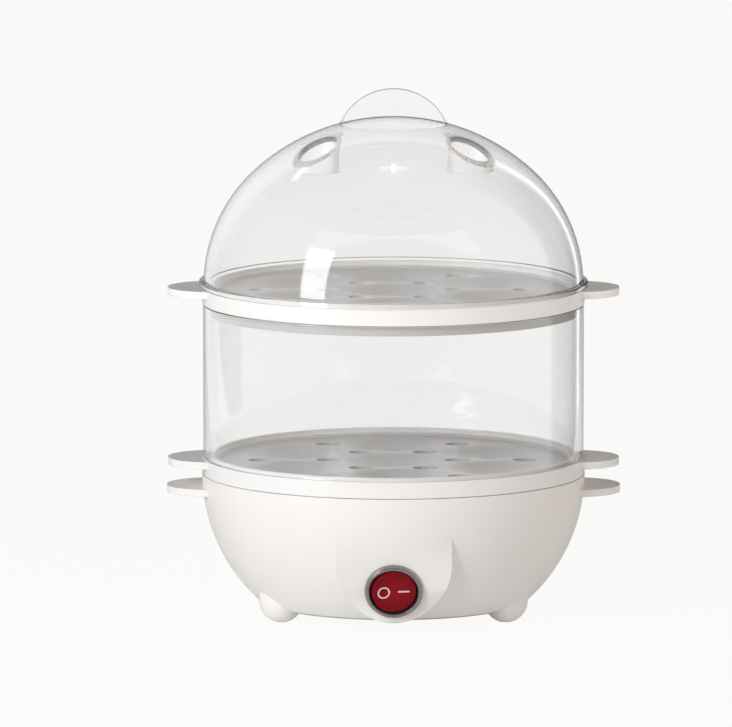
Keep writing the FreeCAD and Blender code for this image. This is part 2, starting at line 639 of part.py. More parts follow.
def element_ends():
    """Where the element's two cold ends turn down, either side of the gap at the back."""
    return [("element_circle * cos((90 + %d * element_gap_angle / 2) * 1 deg)" % side,
             "element_circle * sin((90 + %d * element_gap_angle / 2) * 1 deg)" % side) for side in (1, -1)]


def thermostat():
    """The disc thermostat in the middle, its two screws, and its two blades."""
    under = "(%s - thermostat_depth)" % SPREADER_UNDERSIDE
    can = cylinder("thermostat_radius", "thermostat_depth", "0", "thermostat_y", under)
    ears = box("ear_length", "ear_width", "ear_thickness", "0", "thermostat_y",
               "%s - ear_thickness" % SPREADER_UNDERSIDE)
    blades = [box("blade_thickness", "blade_width", "thermostat_blade_length",
                  "%d * thermostat_blade_x" % side, "thermostat_y", under + " - thermostat_blade_length")
              for side in (1, -1)]
    bores = [cylinder("screw_radius + screw_clearance", "4 * ear_thickness", "%d * ear_screw_x" % side,
                      "thermostat_y", "%s - 2 * ear_thickness" % SPREADER_UNDERSIDE) for side in (1, -1)]
    finish("thermostat", cut(fuse(can, ears, *blades), *bores))
    screws = [fuse(cylinder("small_head_radius", "screw_head_height", "%d * ear_screw_x" % side,
                            "thermostat_y", "%s - ear_thickness - screw_head_height" % SPREADER_UNDERSIDE),
                   cylinder("screw_radius", "ear_thickness", "%d * ear_screw_x" % side,
                            "thermostat_y", "%s - ear_thickness" % SPREADER_UNDERSIDE)) for side in (1, -1)]
    finish("thermostat_screws", group_of(*screws))


def thermal_fuse():
    """The thermal cut-out lying under the spreader, and the clip that holds it there."""
    middle = "(%s - fuse_radius)" % SPREADER_UNDERSIDE
    can = cylinder("fuse_radius", "fuse_length", "-fuse_length / 2", "-fuse_y", middle, Y_AXIS)
    pins = [cylinder("fuse_pin_radius", "fuse_length + 2 * fuse_pin_length",
                     "-fuse_length / 2 - fuse_pin_length", "-fuse_y", middle, Y_AXIS)]
    finish("thermal_fuse", fuse(can, *pins))
    under = "(%s - 2 * fuse_radius - fuse_clip_wall)" % SPREADER_UNDERSIDE
    saddle = box("fuse_clip_width", "2 * fuse_radius + 2 * fuse_clip_wall + 0.2",
                 "2 * fuse_radius + fuse_clip_wall", "0", "-fuse_y", under)
    foot = box("fuse_clip_width", "2 * fuse_radius + 2 * fuse_clip_foot", "fuse_clip_wall", "0", "-fuse_y",
               "%s - fuse_clip_wall" % SPREADER_UNDERSIDE)
    room = box("2 * fuse_clip_width", "2 * fuse_radius + 0.2", "2 * fuse_radius", "0", "-fuse_y",
               under + " + fuse_clip_wall")
    finish("fuse_clip", cut(fuse(saddle, foot), room))


def terminal_block():
    """The three-way block on the base's floor, where the supply cord ends."""
    body = box("block_length", "block_depth", "block_height", "0", "block_y", INNER_FLOOR)
    ways = ["%d * block_pitch" % way for way in (-1, 0, 1)]
    bores = [cylinder("block_bore", "2 * block_depth", x, "block_y + block_depth", BLOCK_MIDDLE, X_AXIS)
             for x in ways]
    wells = [cylinder("clamp_screw_radius + lead_gap", "block_height", x, "block_y", BLOCK_MIDDLE) for x in ways]
    finish("terminal_block", cut(body, *bores, *wells))
    screws = [cylinder("clamp_screw_radius", "block_height / 2 - lead_radius - clamp_screw_gap", x, "block_y",
                       "%s + lead_radius" % BLOCK_MIDDLE) for x in ways]
    finish("terminal_screws", group_of(*screws))


def earth_lug():
    """The earth tag on the spreader and its screw."""
    under = "(%s - lug_thickness)" % SPREADER_UNDERSIDE
    x, screw_y = "-earth_lug_x", "earth_lug_y - lug_length / 2 + lug_width / 2"
    tag = box("lug_width", "lug_length", "lug_thickness", x, "earth_lug_y", under)
    barrel = cylinder("lug_barrel_radius", "lug_barrel_length", x, LUG_BARREL_Y, under + " - lug_barrel_length")
    bore = cylinder("screw_radius + screw_clearance", "4 * lug_thickness", x, screw_y, under + " - lug_thickness")
    finish("earth_lug", cut(fuse(tag, barrel), bore))
    finish("earth_screw", fuse(
        cylinder("screw_head_radius", "screw_head_height", x, screw_y, under + " - screw_head_height"),
        cylinder("screw_radius", "lug_thickness", x, screw_y, under)))


def cord_gland():
    """The rubber gland in the rear boss. Its bore takes the supply cord."""
    shape = revolved("GlandTurned", [
        ("gland_bore", "-inlet_wall - gland_tail"), ("gland_neck_radius", "-inlet_wall - gland_tail"),
        ("gland_tail_radius", "-inlet_wall - gland_tail / 2"), ("gland_tail_radius", "-inlet_wall - 0.1"),
        ("gland_neck_radius", "-inlet_wall - 0.1"), ("gland_neck_radius", "0"), ("gland_flange_radius", "0"),
        ("gland_flange_radius", "gland_flange * 0.6"), ("gland_flange_radius - 1.2", "gland_flange"),
        ("gland_bore", "gland_flange")])
    turn(shape, X_AXIS, "-90")
    finish("cord_gland", place(shape, y="inlet_face", z="inlet_height"))


# ---------------------------------------------------------------- round rocker switch

def switch_housing():
    """The black housing behind the pod's face."""
    form = cylinder("housing_radius", "housing_depth + housing_rim", z="-housing_depth")
    swing = cylinder("swing_radius", "swing_depth + 2 * housing_rim", z="-swing_depth")
    lower = cylinder("lower_bore", "housing_depth - housing_floor", z="-housing_depth + housing_floor")
    pivot = cylinder("pivot_pin_radius + pin_clearance", "4 * housing_radius", "0", "2 * housing_radius",
                     "-rocker_pivot", X_AXIS)
    slots = [box("blade_thickness + 2 * tab_slot_gap", "blade_width + 2 * tab_slot_gap", "4 * housing_floor",
                 "%d * tab_pitch" % side, "0", "-housing_depth - housing_floor") for side in (-1, 0, 1)]
    finish("switch_housing", on_face(cut(form, swing, lower, pivot, *slots)))


def switch_bezel():
    """The bright ring on the pod's face."""
    shape = revolved("BezelTurned", [
        ("housing_radius + bezel_gap", "0"), ("bezel_radius", "0"), ("bezel_radius", "bezel_height / 3"),
        ("bezel_radius - 0.6", "bezel_height * 0.85"), ("(bezel_radius + bezel_inner) / 2", "bezel_height"),
        ("bezel_inner + 0.1", "bezel_height * 0.8"), ("bezel_inner", "housing_rim + 0.05"),
        ("housing_radius + bezel_gap", "housing_rim + 0.05")])
    finish("switch_bezel", on_face(shape))


def with_rocker(solid):
    """Carries a solid, drawn about the pivot, to the rocker's rest tilt and onto the face."""
    held = group_of(solid)
    turn(held, Y_AXIS, "rocker_tilt")
    place(held, z="-rocker_pivot")
    return on_face(group_of(held))


def rocker_parts():
    """The red rocker, with its plunger, plunger spring and neon lamp. Heights are from its pivot."""
    crown = "(rocker_pivot + rocker_crown)"
    form = common(ball("rocker_radius"),
                  cylinder("rocker_radius", "rocker_skirt + 2 * rocker_crown + rocker_pivot",
                           z="-rocker_skirt + rocker_pivot"))
    saddle = cylinder("rocker_hollow", "4 * rocker_radius", "0", "2 * rocker_radius",
                      crown + " + rocker_hollow", X_AXIS)
    stem = cylinder("stem_radius", "stem_length", z="-stem_length")
    hinge_pin = cylinder("pivot_pin_radius", "2 * pivot_pin_reach", "0", "pivot_pin_reach", "0", X_AXIS)
    bore = cylinder("plunger_bore", "stem_length + plunger_bore_top", z="-stem_length")
    pocket = box("2 * lamp_radius + 2 * lamp_gap", "lamp_length + 2 * lamp_gap", "2 * rocker_skirt",
                 "-lamp_x", "0", "-lamp_depth - 2 * rocker_skirt + lamp_radius + lamp_gap")
    body = cut(fuse(cut(form, saddle), stem, hinge_pin), bore, pocket)
    finish("switch_rocker", with_rocker(body))
    rod = fuse(cylinder("plunger_radius", "plunger_length - plunger_radius",
                        z="-plunger_tip + plunger_radius"),
               ball("plunger_radius", z="-plunger_tip + plunger_radius"))
    finish("switch_plunger", with_rocker(rod))
    bulb = cylinder("lamp_radius", "lamp_length", "-lamp_x", "lamp_length / 2", "-lamp_depth", X_AXIS)
    finish("neon_lamp", with_rocker(bulb))
    bottom = size("-plunger_tip + plunger_length + spring_wire + spring_gap")
    top = size("plunger_bore_top - spring_wire - spring_gap")
    helix = Part.makeHelix(size("spring_pitch"), max(top - bottom, size("spring_pitch")), size("spring_radius"))
    helix.translate(Vector(0, 0, bottom))
    section = Part.Wire(Part.makeCircle(size("spring_wire"), Vector(size("spring_radius"), 0, bottom), Y_AXIS))
    coil = made("Coil", Part.Wire(helix.Edges).makePipeShell([section], True, True))
    finish("plunger_spring", with_rocker(coil))


def contact_lever():
    """The seesaw that the plunger tips onto one contact or the other."""
    plate = box("lever_length", "lever_width", "lever_thickness", z="-lever_thickness / 2")
    turned = group_of(plate)
    turn(turned, Y_AXIS, "-lever_tilt")
    place(turned, z="-lever_pivot_depth")
    finish("contact_lever", on_face(group_of(turned)))


def switch_terminals():
    """The three blades: the middle one carries the lever, the outer two are the contacts."""
    tops = {-1: "side_tab_top", 0: "lever_pivot_depth + lever_thickness / 2 + lever_gap", 1: "side_tab_top"}
    blades = []
    for side, top in tops.items():
        blades.append(box("blade_thickness", "blade_width", "housing_depth + tab_reach - (%s)" % top,
                          "%d * tab_pitch" % side, "0", "-housing_depth - tab_reach"))
    finish("switch_terminals", on_face(group_of(*blades)))


# ---------------------------------------------------------------- leads

def lead(label, route):
    """An insulated wire along a route of points, with an arc at every bend as large as its runs allow."""
    radius = size("lead_radius")
    edges, start = [], route[0]
    for before, corner, after in zip(route, route[1:], route[2:]):
        back, ahead = (before - corner), (after - corner)
        shorter = min(back.Length, ahead.Length)
        back.normalize()
        ahead.normalize()
        half_turn = (math.pi - back.getAngle(ahead)) / 2
        reach = 0.45 * shorter
        bend_radius = reach / math.tan(half_turn)
        first, last = corner + back * reach, corner + ahead * reach
        inward = back + ahead
        inward.normalize()
        crest = corner + inward * (bend_radius / math.cos(half_turn) - bend_radius)
        edges.append(Part.makeLine(start, first))
        edges.append(Part.Arc(first, crest, last).toShape())
        start = last
    edges.append(Part.makeLine(start, route[-1]))
    path = Part.Wire(edges)
    direction = route[1] - route[0]
    section = Part.Face(Part.Wire(Part.makeCircle(radius, route[0], direction)))
    finish(label, made(label + "_tube", path.makePipe(section)))


def from_face(x, out):
    """A point on the switch's centre line, or beside it, at a distance out of the pod's face."""
    tilt = math.radians(size("pod_tilt"))
    return Vector(x, -size(FACE_OFFSET) - out * math.cos(tilt), size("switch_height") - out * math.sin(tilt))


def leads():
    """The wires that join the terminal block, switch, thermostat, element, fuse and earth lug."""
    tab_end = size("-housing_depth - tab_reach")
    tab = size("tab_pitch")
    entry, contact = size("block_y - block_depth / 2"), size("block_y + block_depth / 4")
    level, way = size(BLOCK_MIDDLE), size("block_pitch")
    blade = Vector(size("thermostat_blade_x"), size("thermostat_y"),
                   size(SPREADER_UNDERSIDE + " - thermostat_depth - thermostat_blade_length"))
    pin = Vector(size(element_ends()[1][0]), size(element_ends()[1][1]),
                 size(SPREADER_UNDERSIDE + " - element_radius - cold_pin_length"))
    fuse_end = Vector(size("fuse_length / 2 + fuse_pin_length"), -size("fuse_y"),
                      size(SPREADER_UNDERSIDE + " - fuse_radius"))
    lug = Vector(-size("earth_lug_x"), size(LUG_BARREL_Y),
                 size(SPREADER_UNDERSIDE + " - lug_thickness - lug_barrel_length"))
    low, bend, run = size(INNER_FLOOR + " + lead_rise"), size("lead_loop"), size("switch_run")
    lead("lead_live", [Vector(0, contact, level), Vector(0, size("live_turn"), level),
                       from_face(0, tab_end - run), from_face(0, tab_end)])
    lead("lead_switched", [from_face(-tab, tab_end), from_face(-tab, tab_end - run),
                           Vector(-blade.x, -size("switched_turn"), low + size("switched_rise")),
                           Vector(-blade.x, blade.y, low), Vector(-blade.x, blade.y, blade.z)])
    lead("lead_element", [blade, Vector(blade.x, blade.y, low), Vector(pin.x, pin.y, low), pin])
    lead("lead_fuse", [Vector(-pin.x, pin.y, pin.z), Vector(-pin.x, pin.y, low + size("fuse_lead_rise")),
                       Vector(-fuse_end.x - bend, fuse_end.y, low + size("fuse_loop_rise")),
                       Vector(-fuse_end.x - bend, fuse_end.y, fuse_end.z),
                       Vector(-fuse_end.x, fuse_end.y, fuse_end.z)])
    lead("lead_neutral", [fuse_end, Vector(fuse_end.x + bend, fuse_end.y, fuse_end.z),
                          Vector(fuse_end.x + bend, fuse_end.y, low + size("neutral_rise")),
                          Vector(way, entry - size("neutral_run"), level), Vector(way, contact, level)])
    lead("lead_earth", [lug, Vector(lug.x, lug.y, low + size("earth_rise")),
                        Vector(-way, entry - size("earth_run"), level), Vector(-way, contact, level)])


# ---------------------------------------------------------------- trays and clear pieces

def egg_tray(label, lift):
    """A tray of seven dished egg seats. Both trays are one moulding, the upper one a tier higher."""
    seam = "(seam_height + %s)" % lift
    ledge, lip = "(%s + ring_height)" % seam, "(%s + ring_height + lip_rise)" % seam
    surface = "(%s - tray_recess)" % lip
    inner = "(%s - skirt_wall)" % SKIRT_RADIUS
    body = revolved(label + "_ring", [
        ("0", "%s - tray_floor" % surface), (inner, "%s - tray_floor" % surface),
        (inner, "%s - skirt_drop" % seam), (SKIRT_RADIUS, "%s - skirt_drop" % seam), (SKIRT_RADIUS, seam),
        ("tray_radius", seam), ("tray_radius", ledge), (SKIRT_RADIUS, ledge), (SKIRT_RADIUS, lip),
        (inner, lip), (inner, "%s + tray_cove" % surface), ("%s - tray_cove" % inner, surface), ("0", surface)])
    bar = tongues(label + "_tongues", "tray_tongue_reach", "tray_tongue_thickness",
                  "%s - tray_tongue_drop - tray_tongue_thickness" % ledge)
    ends = cut(bar, cylinder("tray_radius - ring_wall / 2", "4 * ring_height", z="%s - ring_height" % seam))
    reach = "((seat_radius ^ 2 + seat_depth ^ 2) / (2 * seat_depth))"
    centre = "(%s + %s - seat_depth)" % (surface, reach)
    seats = [("0", "0")] + around(lambda x, y: (x, y), "seat_count", "seat_pitch", "seat_start_angle")
    cups = [common(ball("%s + tray_floor" % reach, x, y, centre),
                   cylinder("seat_radius + tray_floor", "seat_depth + tray_floor / 2", x, y,
                            "%s - seat_depth - tray_floor" % surface)) for x, y in seats]
    hollows = [ball(reach, x, y, centre) for x, y in seats]
    drains = [cylinder("seat_hole_radius", "4 * tray_floor + seat_depth", x, y,
                       "%s - seat_depth - 2 * tray_floor" % surface) for x, y in seats]
    vents = []
    for circle in ("steam_ring_inner", "steam_ring_outer"):
        vents += around(lambda x, y: cylinder("steam_hole_radius", "4 * tray_floor", x, y,
                                              "%s - 2 * tray_floor" % surface), "seat_count", circle, "0")
    finish(label, cut(fuse(body, ends, *cups), *hollows, *drains, *vents))


def tier_ring():
    """The clear ring between the trays."""
    finish("tier_ring", ring("tier_radius", "tier_radius - tier_wall", "tier_height", LEDGE, "TierTurned"))


def dome_form(name, wall):
    """The dome's solid form with a wall taken off: a side arc that runs into a flatter crown arc."""
    side, crown = "(dome_side_curve - %s)" % wall, "(%s - %s)" % (DOME_CROWN, wall)
    gap = "(%s - dome_side_curve)" % DOME_CROWN
    reach = "(dome_radius - dome_side_curve)"
    joint = ("%s * %s / %s" % (reach, crown, gap),
             "%s + %s * (%s - dome_height) / %s" % (DOME_SEAT, side, DOME_CROWN, gap))
    crown_centre = "%s + dome_height - %s" % (DOME_SEAT, DOME_CROWN)
    return revolved(name, [("0", DOME_SEAT), (None, DOME_SEAT), joint, ("0", None)],
                    {1: (reach, DOME_SEAT, side), 2: ("0", crown_centre, crown)})


def dome_lid():
    """The clear dome with its rim bead, upright tab and two steam vents."""
    base = DOME_SEAT
    outside = dome_form("DomeForm", "0")
    bead = revolved("DomeBead", [
        ("dome_radius - dome_wall", base), ("bead_radius - bead_edge", base),
        ("bead_radius", "%s + bead_edge" % base), ("bead_radius", "%s + bead_height - bead_edge" % base),
        ("bead_radius - bead_edge", "%s + bead_height" % base),
        ("dome_radius - dome_wall", "%s + bead_height" % base)])
    top = "(%s + dome_height)" % base
    inside = dome_form("DomeHollow", "dome_wall")
    disc = cylinder("tab_radius", "tab_thickness", "0", "tab_thickness / 2", top + " + tab_rise - tab_radius",
                    X_AXIS)
    tubes, bores = [], []
    for side in (-1, 1):
        x, y = "%d * vent_x" % side, "-vent_y"
        tubes.append(common(cylinder("vent_radius", "2 * vent_drop", x, y, top + " - vent_drop"), outside))
        bores.append(cylinder("vent_radius - vent_wall", "4 * vent_drop", x, y, top + " - 2 * vent_drop"))
    finish("dome_lid", cut(fuse(cut(outside, inside), bead, cut(disc, inside), *tubes), *bores))


def build():
    """Builds every piece."""
    base_shell()
    bottom_cover()
    deck_ring()
    heating_dish()
    heater()
    thermostat()
    thermal_fuse()
    terminal_block()
    earth_lug()
    cord_gland()
    switch_housing()
    switch_bezel()
    rocker_parts()
    contact_lever()
    switch_terminals()
    leads()
    egg_tray("lower_tray", "0")
    tier_ring()
    egg_tray("upper_tray", TIER_PITCH)
    dome_lid()


def check_and_export():
    """Stops on any failed object or bad shape, then writes one STEP file for each sub-part."""
    doc.recompute()
    failed = [item.Label for item in doc.Objects if {"Invalid", "Error"} & set(item.State)]
    if failed:
        raise RuntimeError("failed objects: " + ", ".join(failed))
    for label, piece in PARTS.items():
        if piece.Shape.isNull() or not piece.Shape.isValid() or not piece.Shape.Solids:
            raise RuntimeError("bad shape: " + label)
    os.makedirs("parts", exist_ok=True)
    for label, piece in PARTS.items():
        piece.Shape.exportStep("parts/%s.step" % label)


build()
check_and_export()
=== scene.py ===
"""Looks of a two-tier electric egg boiler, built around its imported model.

Laid out as a Blender add-on and run as a script. Lengths are in metres, unless a name ends in _mm or _MM.
"""
import math

import bmesh
import bpy
import numpy as np
from bpy.props import FloatProperty, FloatVectorProperty, IntProperty, PointerProperty
from mathutils import Matrix, Vector


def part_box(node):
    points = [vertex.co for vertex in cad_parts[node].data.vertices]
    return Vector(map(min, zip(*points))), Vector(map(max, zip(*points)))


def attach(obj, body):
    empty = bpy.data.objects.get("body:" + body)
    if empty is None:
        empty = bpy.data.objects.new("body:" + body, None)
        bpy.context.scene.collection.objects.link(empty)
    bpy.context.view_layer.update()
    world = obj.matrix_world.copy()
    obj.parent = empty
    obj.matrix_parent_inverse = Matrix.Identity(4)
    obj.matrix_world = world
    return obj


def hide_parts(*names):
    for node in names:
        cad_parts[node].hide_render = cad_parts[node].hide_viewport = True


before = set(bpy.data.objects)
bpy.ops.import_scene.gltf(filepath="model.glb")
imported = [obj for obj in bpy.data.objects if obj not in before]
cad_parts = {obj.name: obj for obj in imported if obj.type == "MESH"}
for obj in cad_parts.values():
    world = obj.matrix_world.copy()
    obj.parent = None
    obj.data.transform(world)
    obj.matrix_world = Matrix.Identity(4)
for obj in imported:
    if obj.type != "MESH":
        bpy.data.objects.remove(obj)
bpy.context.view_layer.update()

bl_info = {
    "name": "Egg boiler",
    "version": (1, 0, 0),
    "blender": (4, 5, 0),
    "location": "3D View > Sidebar > Egg boiler",
    "description": "Builds the visible pieces of a two-tier egg boiler around its packed model",
    "category": "Object",
}

MM = 0.001

# Places of the colours on a Mix node.
MIX_A, MIX_B, MIX_RESULT = 6, 7, 2

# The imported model's own sizes, for what is matched to them here.
SEAM_MM, TIER_PITCH_MM = 56.1, 68.0
BOWL_CURVE_MM, BOWL_REACH_MM, BOWL_WALL_MM = 68.1, 7.9, 2.4
FOOT_X_MM, FOOT_Y_MM, FOOT_BALL_MM, FOOT_FLAT_MM = 44.4, 25.0, 8.8, 2.5
SKIRT_DROP_MM, SKIRT_OUTSIDE_MM = 4.0, 72.6
SWITCH_AT_MM = (0.0, -67.41, 18.7)
PIVOT_DEPTH_MM, REST_TILT = 1.0, math.radians(8)
POD_TILT = math.radians(18.5)
POD_OUT = Vector((0, -math.cos(POD_TILT), -math.sin(POD_TILT)))
QUARTER_TURN = Matrix.Rotation(math.pi / 2, 4, "X")


# ---------------------------------------------------------------- sizes and colours

def linear(hex_colour):
    """An sRGB hex colour as linear red, green and blue."""
    parts = [int(hex_colour[i:i + 2], 16) / 255 for i in (1, 3, 5)]
    return tuple(p / 12.92 if p <= 0.04045 else ((p + 0.055) / 1.055) ** 2.4 for p in parts)


def length(label, text, value_mm):
    """A length property with its default in millimetres."""
    return FloatProperty(name=label, description=text, default=value_mm * MM, unit="LENGTH",
                         subtype="DISTANCE", precision=5)


def colour(label, text, hex_colour):
    """A colour property with its default as sRGB hex."""
    return FloatVectorProperty(name=label, description=text, default=linear(hex_colour), size=3,
                               subtype="COLOR", min=0.0, max=1.0)


def strength(label, text, value):
    """A property for the strength of a light."""
    return FloatProperty(name=label, description=text, default=value, min=0.0)


class EggBoilerSizes(bpy.types.PropertyGroup):
    """Sizes of the pieces that are turned or grown here."""
    dome_wall: length("Dome wall", "Thickness of the clear dome", 2.1)
    side_curve: length("Side curve", "Radius of the dome's steep lower curve", 62.0)
    dome_radius: length("Dome radius", "Outer radius of the dome above its bead", 75.4)
    dome_height: length("Dome height", "Height of the dome above its seat", 67.2)
    bead_edge: length("Bead edge", "Rounding of the dome's rim bead", 0.7)
    bead_height: length("Bead height", "Height of the dome's rim bead", 2.3)
    tab_radius: length("Tab radius", "Radius of the upright grip disc", 23.1)
    tab_thickness: length("Tab thickness", "Thickness of the upright grip disc", 2.4)
    tab_edge: length("Tab edge", "Rounding of the grip disc's edge", 0.7)
    vent_radius: length("Vent radius", "Outer radius of a steam vent's tube", 8.9)
    vent_bore: length("Vent bore", "Inner radius of a steam vent's tube", 7.35)
    vent_rim: length("Vent rim", "Rounding where a vent opens through the dome", 0.9)
    vent_x: length("Vent offset", "How far each vent stands left or right of the middle", 29.9)
    vent_y: length("Vent front", "How far the vents stand in front of the middle", 24.0)
    vent_drop: length("Vent drop", "How far a vent's tube hangs below the crown", 19.6)
    tier_wall: length("Tier wall", "Thickness of the clear ring", 2.2)
    tier_edge: length("Tier edge", "Rounding of the clear ring's edges", 0.5)
    seam_gap: length("Seam gap", "Shadow gap under each tray's ring", 0.2)
    turning_steps: IntProperty(name="Turning steps", description="Sides of the turned clear pieces",
                               default=256, min=64, max=320)


class EggBoilerColours(bpy.types.PropertyGroup):
    """Colours that a user would change."""
    shell: colour("Base shell", "Moulded base", "#F1EEEC")
    tray: colour("Trays", "Moulded egg trays", "#F0EEEC")
    clear: colour("Clear pieces", "Tint of the dome and the ring", "#FEFEFE")
    rocker: colour("Rocker", "Switch rocker", "#8F121D")
    marks: colour("Marks", "Printed marks on the rocker", "#E8D2CC")
    bezel: colour("Bezel", "Plated switch ring", "#A3A09C")
    backdrop: colour("Backdrop", "Floor and background", "#FEFFFD")


class EggBoilerStage(bpy.types.PropertyGroup):
    """Strengths of the studio's light."""
    key: strength("Key", "Radiance of the soft box in front", 11.0)
    fill: strength("Fill", "Radiance of the large soft box at the left", 5.2)
    window: strength("Window", "Radiance of the soft box that the dome mirrors", 5.4)
    room: strength("Room", "Level of the soft light from all round", 1.6)


def settings():
    """The three property groups of the scene: sizes, colours and stage."""
    scene = bpy.context.scene
    return scene.egg_boiler_sizes, scene.egg_boiler_colours, scene.egg_boiler_stage


# ---------------------------------------------------------------- node trees and materials

def node(tree, kind, feeds=(), **options):
    """Adds one node. feeds fills its inputs, as a list in their order or a dictionary by name or place.

    A feed is a value, or another node's output to link, or another node for its first output."""
    made = tree.nodes.new(kind)
    for name, value in options.items():
        setattr(made, name, value)
    for key, value in feeds.items() if isinstance(feeds, dict) else enumerate(feeds):
        if isinstance(value, bpy.types.Node):
            value = value.outputs[0]
        if isinstance(value, bpy.types.NodeSocket):
            tree.links.new(value, made.inputs[key])
        else:
            made.inputs[key].default_value = value
    return made


def new_material(name):
    """An empty node material and its tree."""
    material = bpy.data.materials.new(name)
    material.use_nodes = True
    tree = material.node_tree
    tree.nodes.clear()
    return material, tree


def ended(material, tree, shader):
    """The material, ended with its shader."""
    node(tree, "ShaderNodeOutputMaterial", [shader])
    return material


def rgba(rgb, share=1.0):
    """A share of three colour parts, none over 1, with full opacity."""
    return tuple(min(1.0, part * share) for part in rgb) + (1.0,)


def folded_gap(tree, place, x, y):
    """Distance of a place from the upright axes at plus or minus x and y."""
    folded = node(tree, "ShaderNodeVectorMath", [place], operation="ABSOLUTE")
    flat = node(tree, "ShaderNodeVectorMath", [folded, (1, 1, 0)], operation="MULTIPLY")
    return node(tree, "ShaderNodeVectorMath", [flat, (x, y, 0)], operation="DISTANCE").outputs["Value"]


def relief(tree, place, size_mm, depth_mm, detail, under=None, roughness=0.5):
    """A bump of noise whose grains have a size and a depth, on the relief that lies under it."""
    pattern = node(tree, "ShaderNodeTexNoise", {
        "Vector": place, "Scale": 1 / (size_mm * MM), "Detail": detail, "Roughness": roughness})
    feeds = {"Strength": 1.0, "Distance": depth_mm * MM, "Height": pattern}
    if under:
        feeds["Normal"] = under
    return node(tree, "ShaderNodeBump", feeds)


def painted_shade_of_tray(tree, place):
    """Painted shade on an egg tray: its floor is painted greyer than its ring, and so is its skirt, where the
    clear ring shades it.
    """
    level = node(tree, "ShaderNodeSeparateXYZ", [place]).outputs["Z"]
    from_seam = node(tree, "ShaderNodeMath", [level, (TIER_PITCH_MM - SEAM_MM) * MM], operation="ADD")
    in_tier = node(tree, "ShaderNodeMath", [from_seam, TIER_PITCH_MM * MM], operation="MODULO")
    # Painted shade: the tone of the floor and of the skirt inside the clear ring.
    grey, skirt_from, skirt_full = 0.7, 60 * MM, 60.1 * MM
    floor_edge, ring_edge = 70.2 * MM, 70.8 * MM
    skirt = node(tree, "ShaderNodeMapRange", [in_tier, skirt_from, skirt_full, 1.0, grey])
    from_axis = folded_gap(tree, place, 0, 0)
    floor = node(tree, "ShaderNodeMapRange", [from_axis, floor_edge, ring_edge, grey, 1.0])
    return node(tree, "ShaderNodeMath", [skirt, floor], operation="MINIMUM")


def painted_shade_of_base(tree, place):
    """Painted shade on the base: a thin dark line where it turns under, left out round the feet and further
    in.
    """
    level = node(tree, "ShaderNodeSeparateXYZ", [place]).outputs["Z"]
    # Painted shade: how dark the line is, and the heights where it fades out.
    dark, line_full, line_end = 0.45, 4.9 * MM, 5.6 * MM
    tone = node(tree, "ShaderNodeMapRange", [level, line_full, line_end, dark, 1.0])
    for x, y, full, end in ((FOOT_X_MM, FOOT_Y_MM, 9.0, 11.0), (0.0, 0.0, 49.5, 50.5)):
        gap = folded_gap(tree, place, x * MM, y * MM)
        left_out = node(tree, "ShaderNodeMapRange", [gap, full * MM, end * MM, 1.0, 0.0])
        tone = node(tree, "ShaderNodeMath", [tone, left_out], operation="MAXIMUM")
    return tone


def moulded(name, rgb, roughness, grain_mm, depth_mm, ior=1.5, mottle=0.03, edge_mm=0.0, sheen=0.0,
            sink_mm=0.0, shade=None):
    """A plastic or rubber surface as it leaves its mould: fine grain, and a slightly uneven tone and gloss.

    sink_mm is how deep the shallow hollows are that thick plastic draws as it cools. shade gives the painted
    shade that darkens the tone at a place."""
    material, tree = new_material(name)
    place = node(tree, "ShaderNodeTexCoord").outputs["Object"]
    cloud_mm, hollow_mm = 26, 15
    cloud = node(tree, "ShaderNodeTexNoise", {"Vector": place, "Scale": 1 / (cloud_mm * MM), "Detail": 2.0})
    dull, pale = rgba(rgb, 1 - mottle), rgba(rgb, 1 + mottle / 2)
    tone = node(tree, "ShaderNodeMix", {0: cloud, MIX_A: dull, MIX_B: pale},
                data_type="RGBA").outputs[MIX_RESULT]
    # Painted shade, multiplied into the tone.
    if shade:
        tone = node(tree, "ShaderNodeMix", {0: 1.0, MIX_A: tone, MIX_B: shade(tree, place)}, data_type="RGBA",
                    blend_type="MULTIPLY").outputs[MIX_RESULT]
    gloss = node(tree, "ShaderNodeMapRange", [cloud, 0.0, 1.0, roughness * 0.9, roughness * 1.1])
    under = node(tree, "ShaderNodeBevel", {"Radius": edge_mm * MM}, samples=6) if edge_mm else None
    if sink_mm:
        under = relief(tree, place, hollow_mm, sink_mm, detail=1.5, under=under)
    grain = relief(tree, place, grain_mm, depth_mm, detail=3.0, under=under, roughness=0.6)
    return ended(material, tree, node(tree, "ShaderNodeBsdfPrincipled", {
        "Base Color": tone, "Roughness": gloss, "IOR": ior, "Normal": grain, "Sheen Weight": sheen}))


def metal(name, rgb, roughness, streak_mm, depth_mm, stain=None, edge_mm=0.0):
    """A bare or plated metal: tool or rolling marks along one axis, and a tone that wanders with handling."""
    material, tree = new_material(name)
    place = node(tree, "ShaderNodeTexCoord").outputs["Object"]
    cloud_mm = 9
    stretched = node(tree, "ShaderNodeMapping", {"Vector": place, "Scale": [1 / (s * MM) for s in streak_mm]})
    marks = node(tree, "ShaderNodeTexNoise", {"Vector": stretched, "Scale": 1.0, "Detail": 2.0})
    cloud = node(tree, "ShaderNodeTexNoise", {"Vector": place, "Scale": 1 / (cloud_mm * MM), "Detail": 3.0})
    second = rgba(linear(stain)) if stain else rgba(rgb, 0.88)
    tone = node(tree, "ShaderNodeMix", {0: cloud, MIX_A: rgba(rgb), MIX_B: second}, data_type="RGBA")
    gloss = node(tree, "ShaderNodeMapRange", [marks, 0.0, 1.0, roughness * 0.75, roughness * 1.25])
    feeds = {"Strength": 1.0, "Distance": depth_mm * MM, "Height": marks}
    if edge_mm:
        feeds["Normal"] = node(tree, "ShaderNodeBevel", {"Radius": edge_mm * MM}, samples=4)
    bump = node(tree, "ShaderNodeBump", feeds)
    return ended(material, tree, node(tree, "ShaderNodeBsdfPrincipled", {
        "Base Color": tone.outputs[MIX_RESULT], "Roughness": gloss, "Metallic": 1.0, "Normal": bump}))


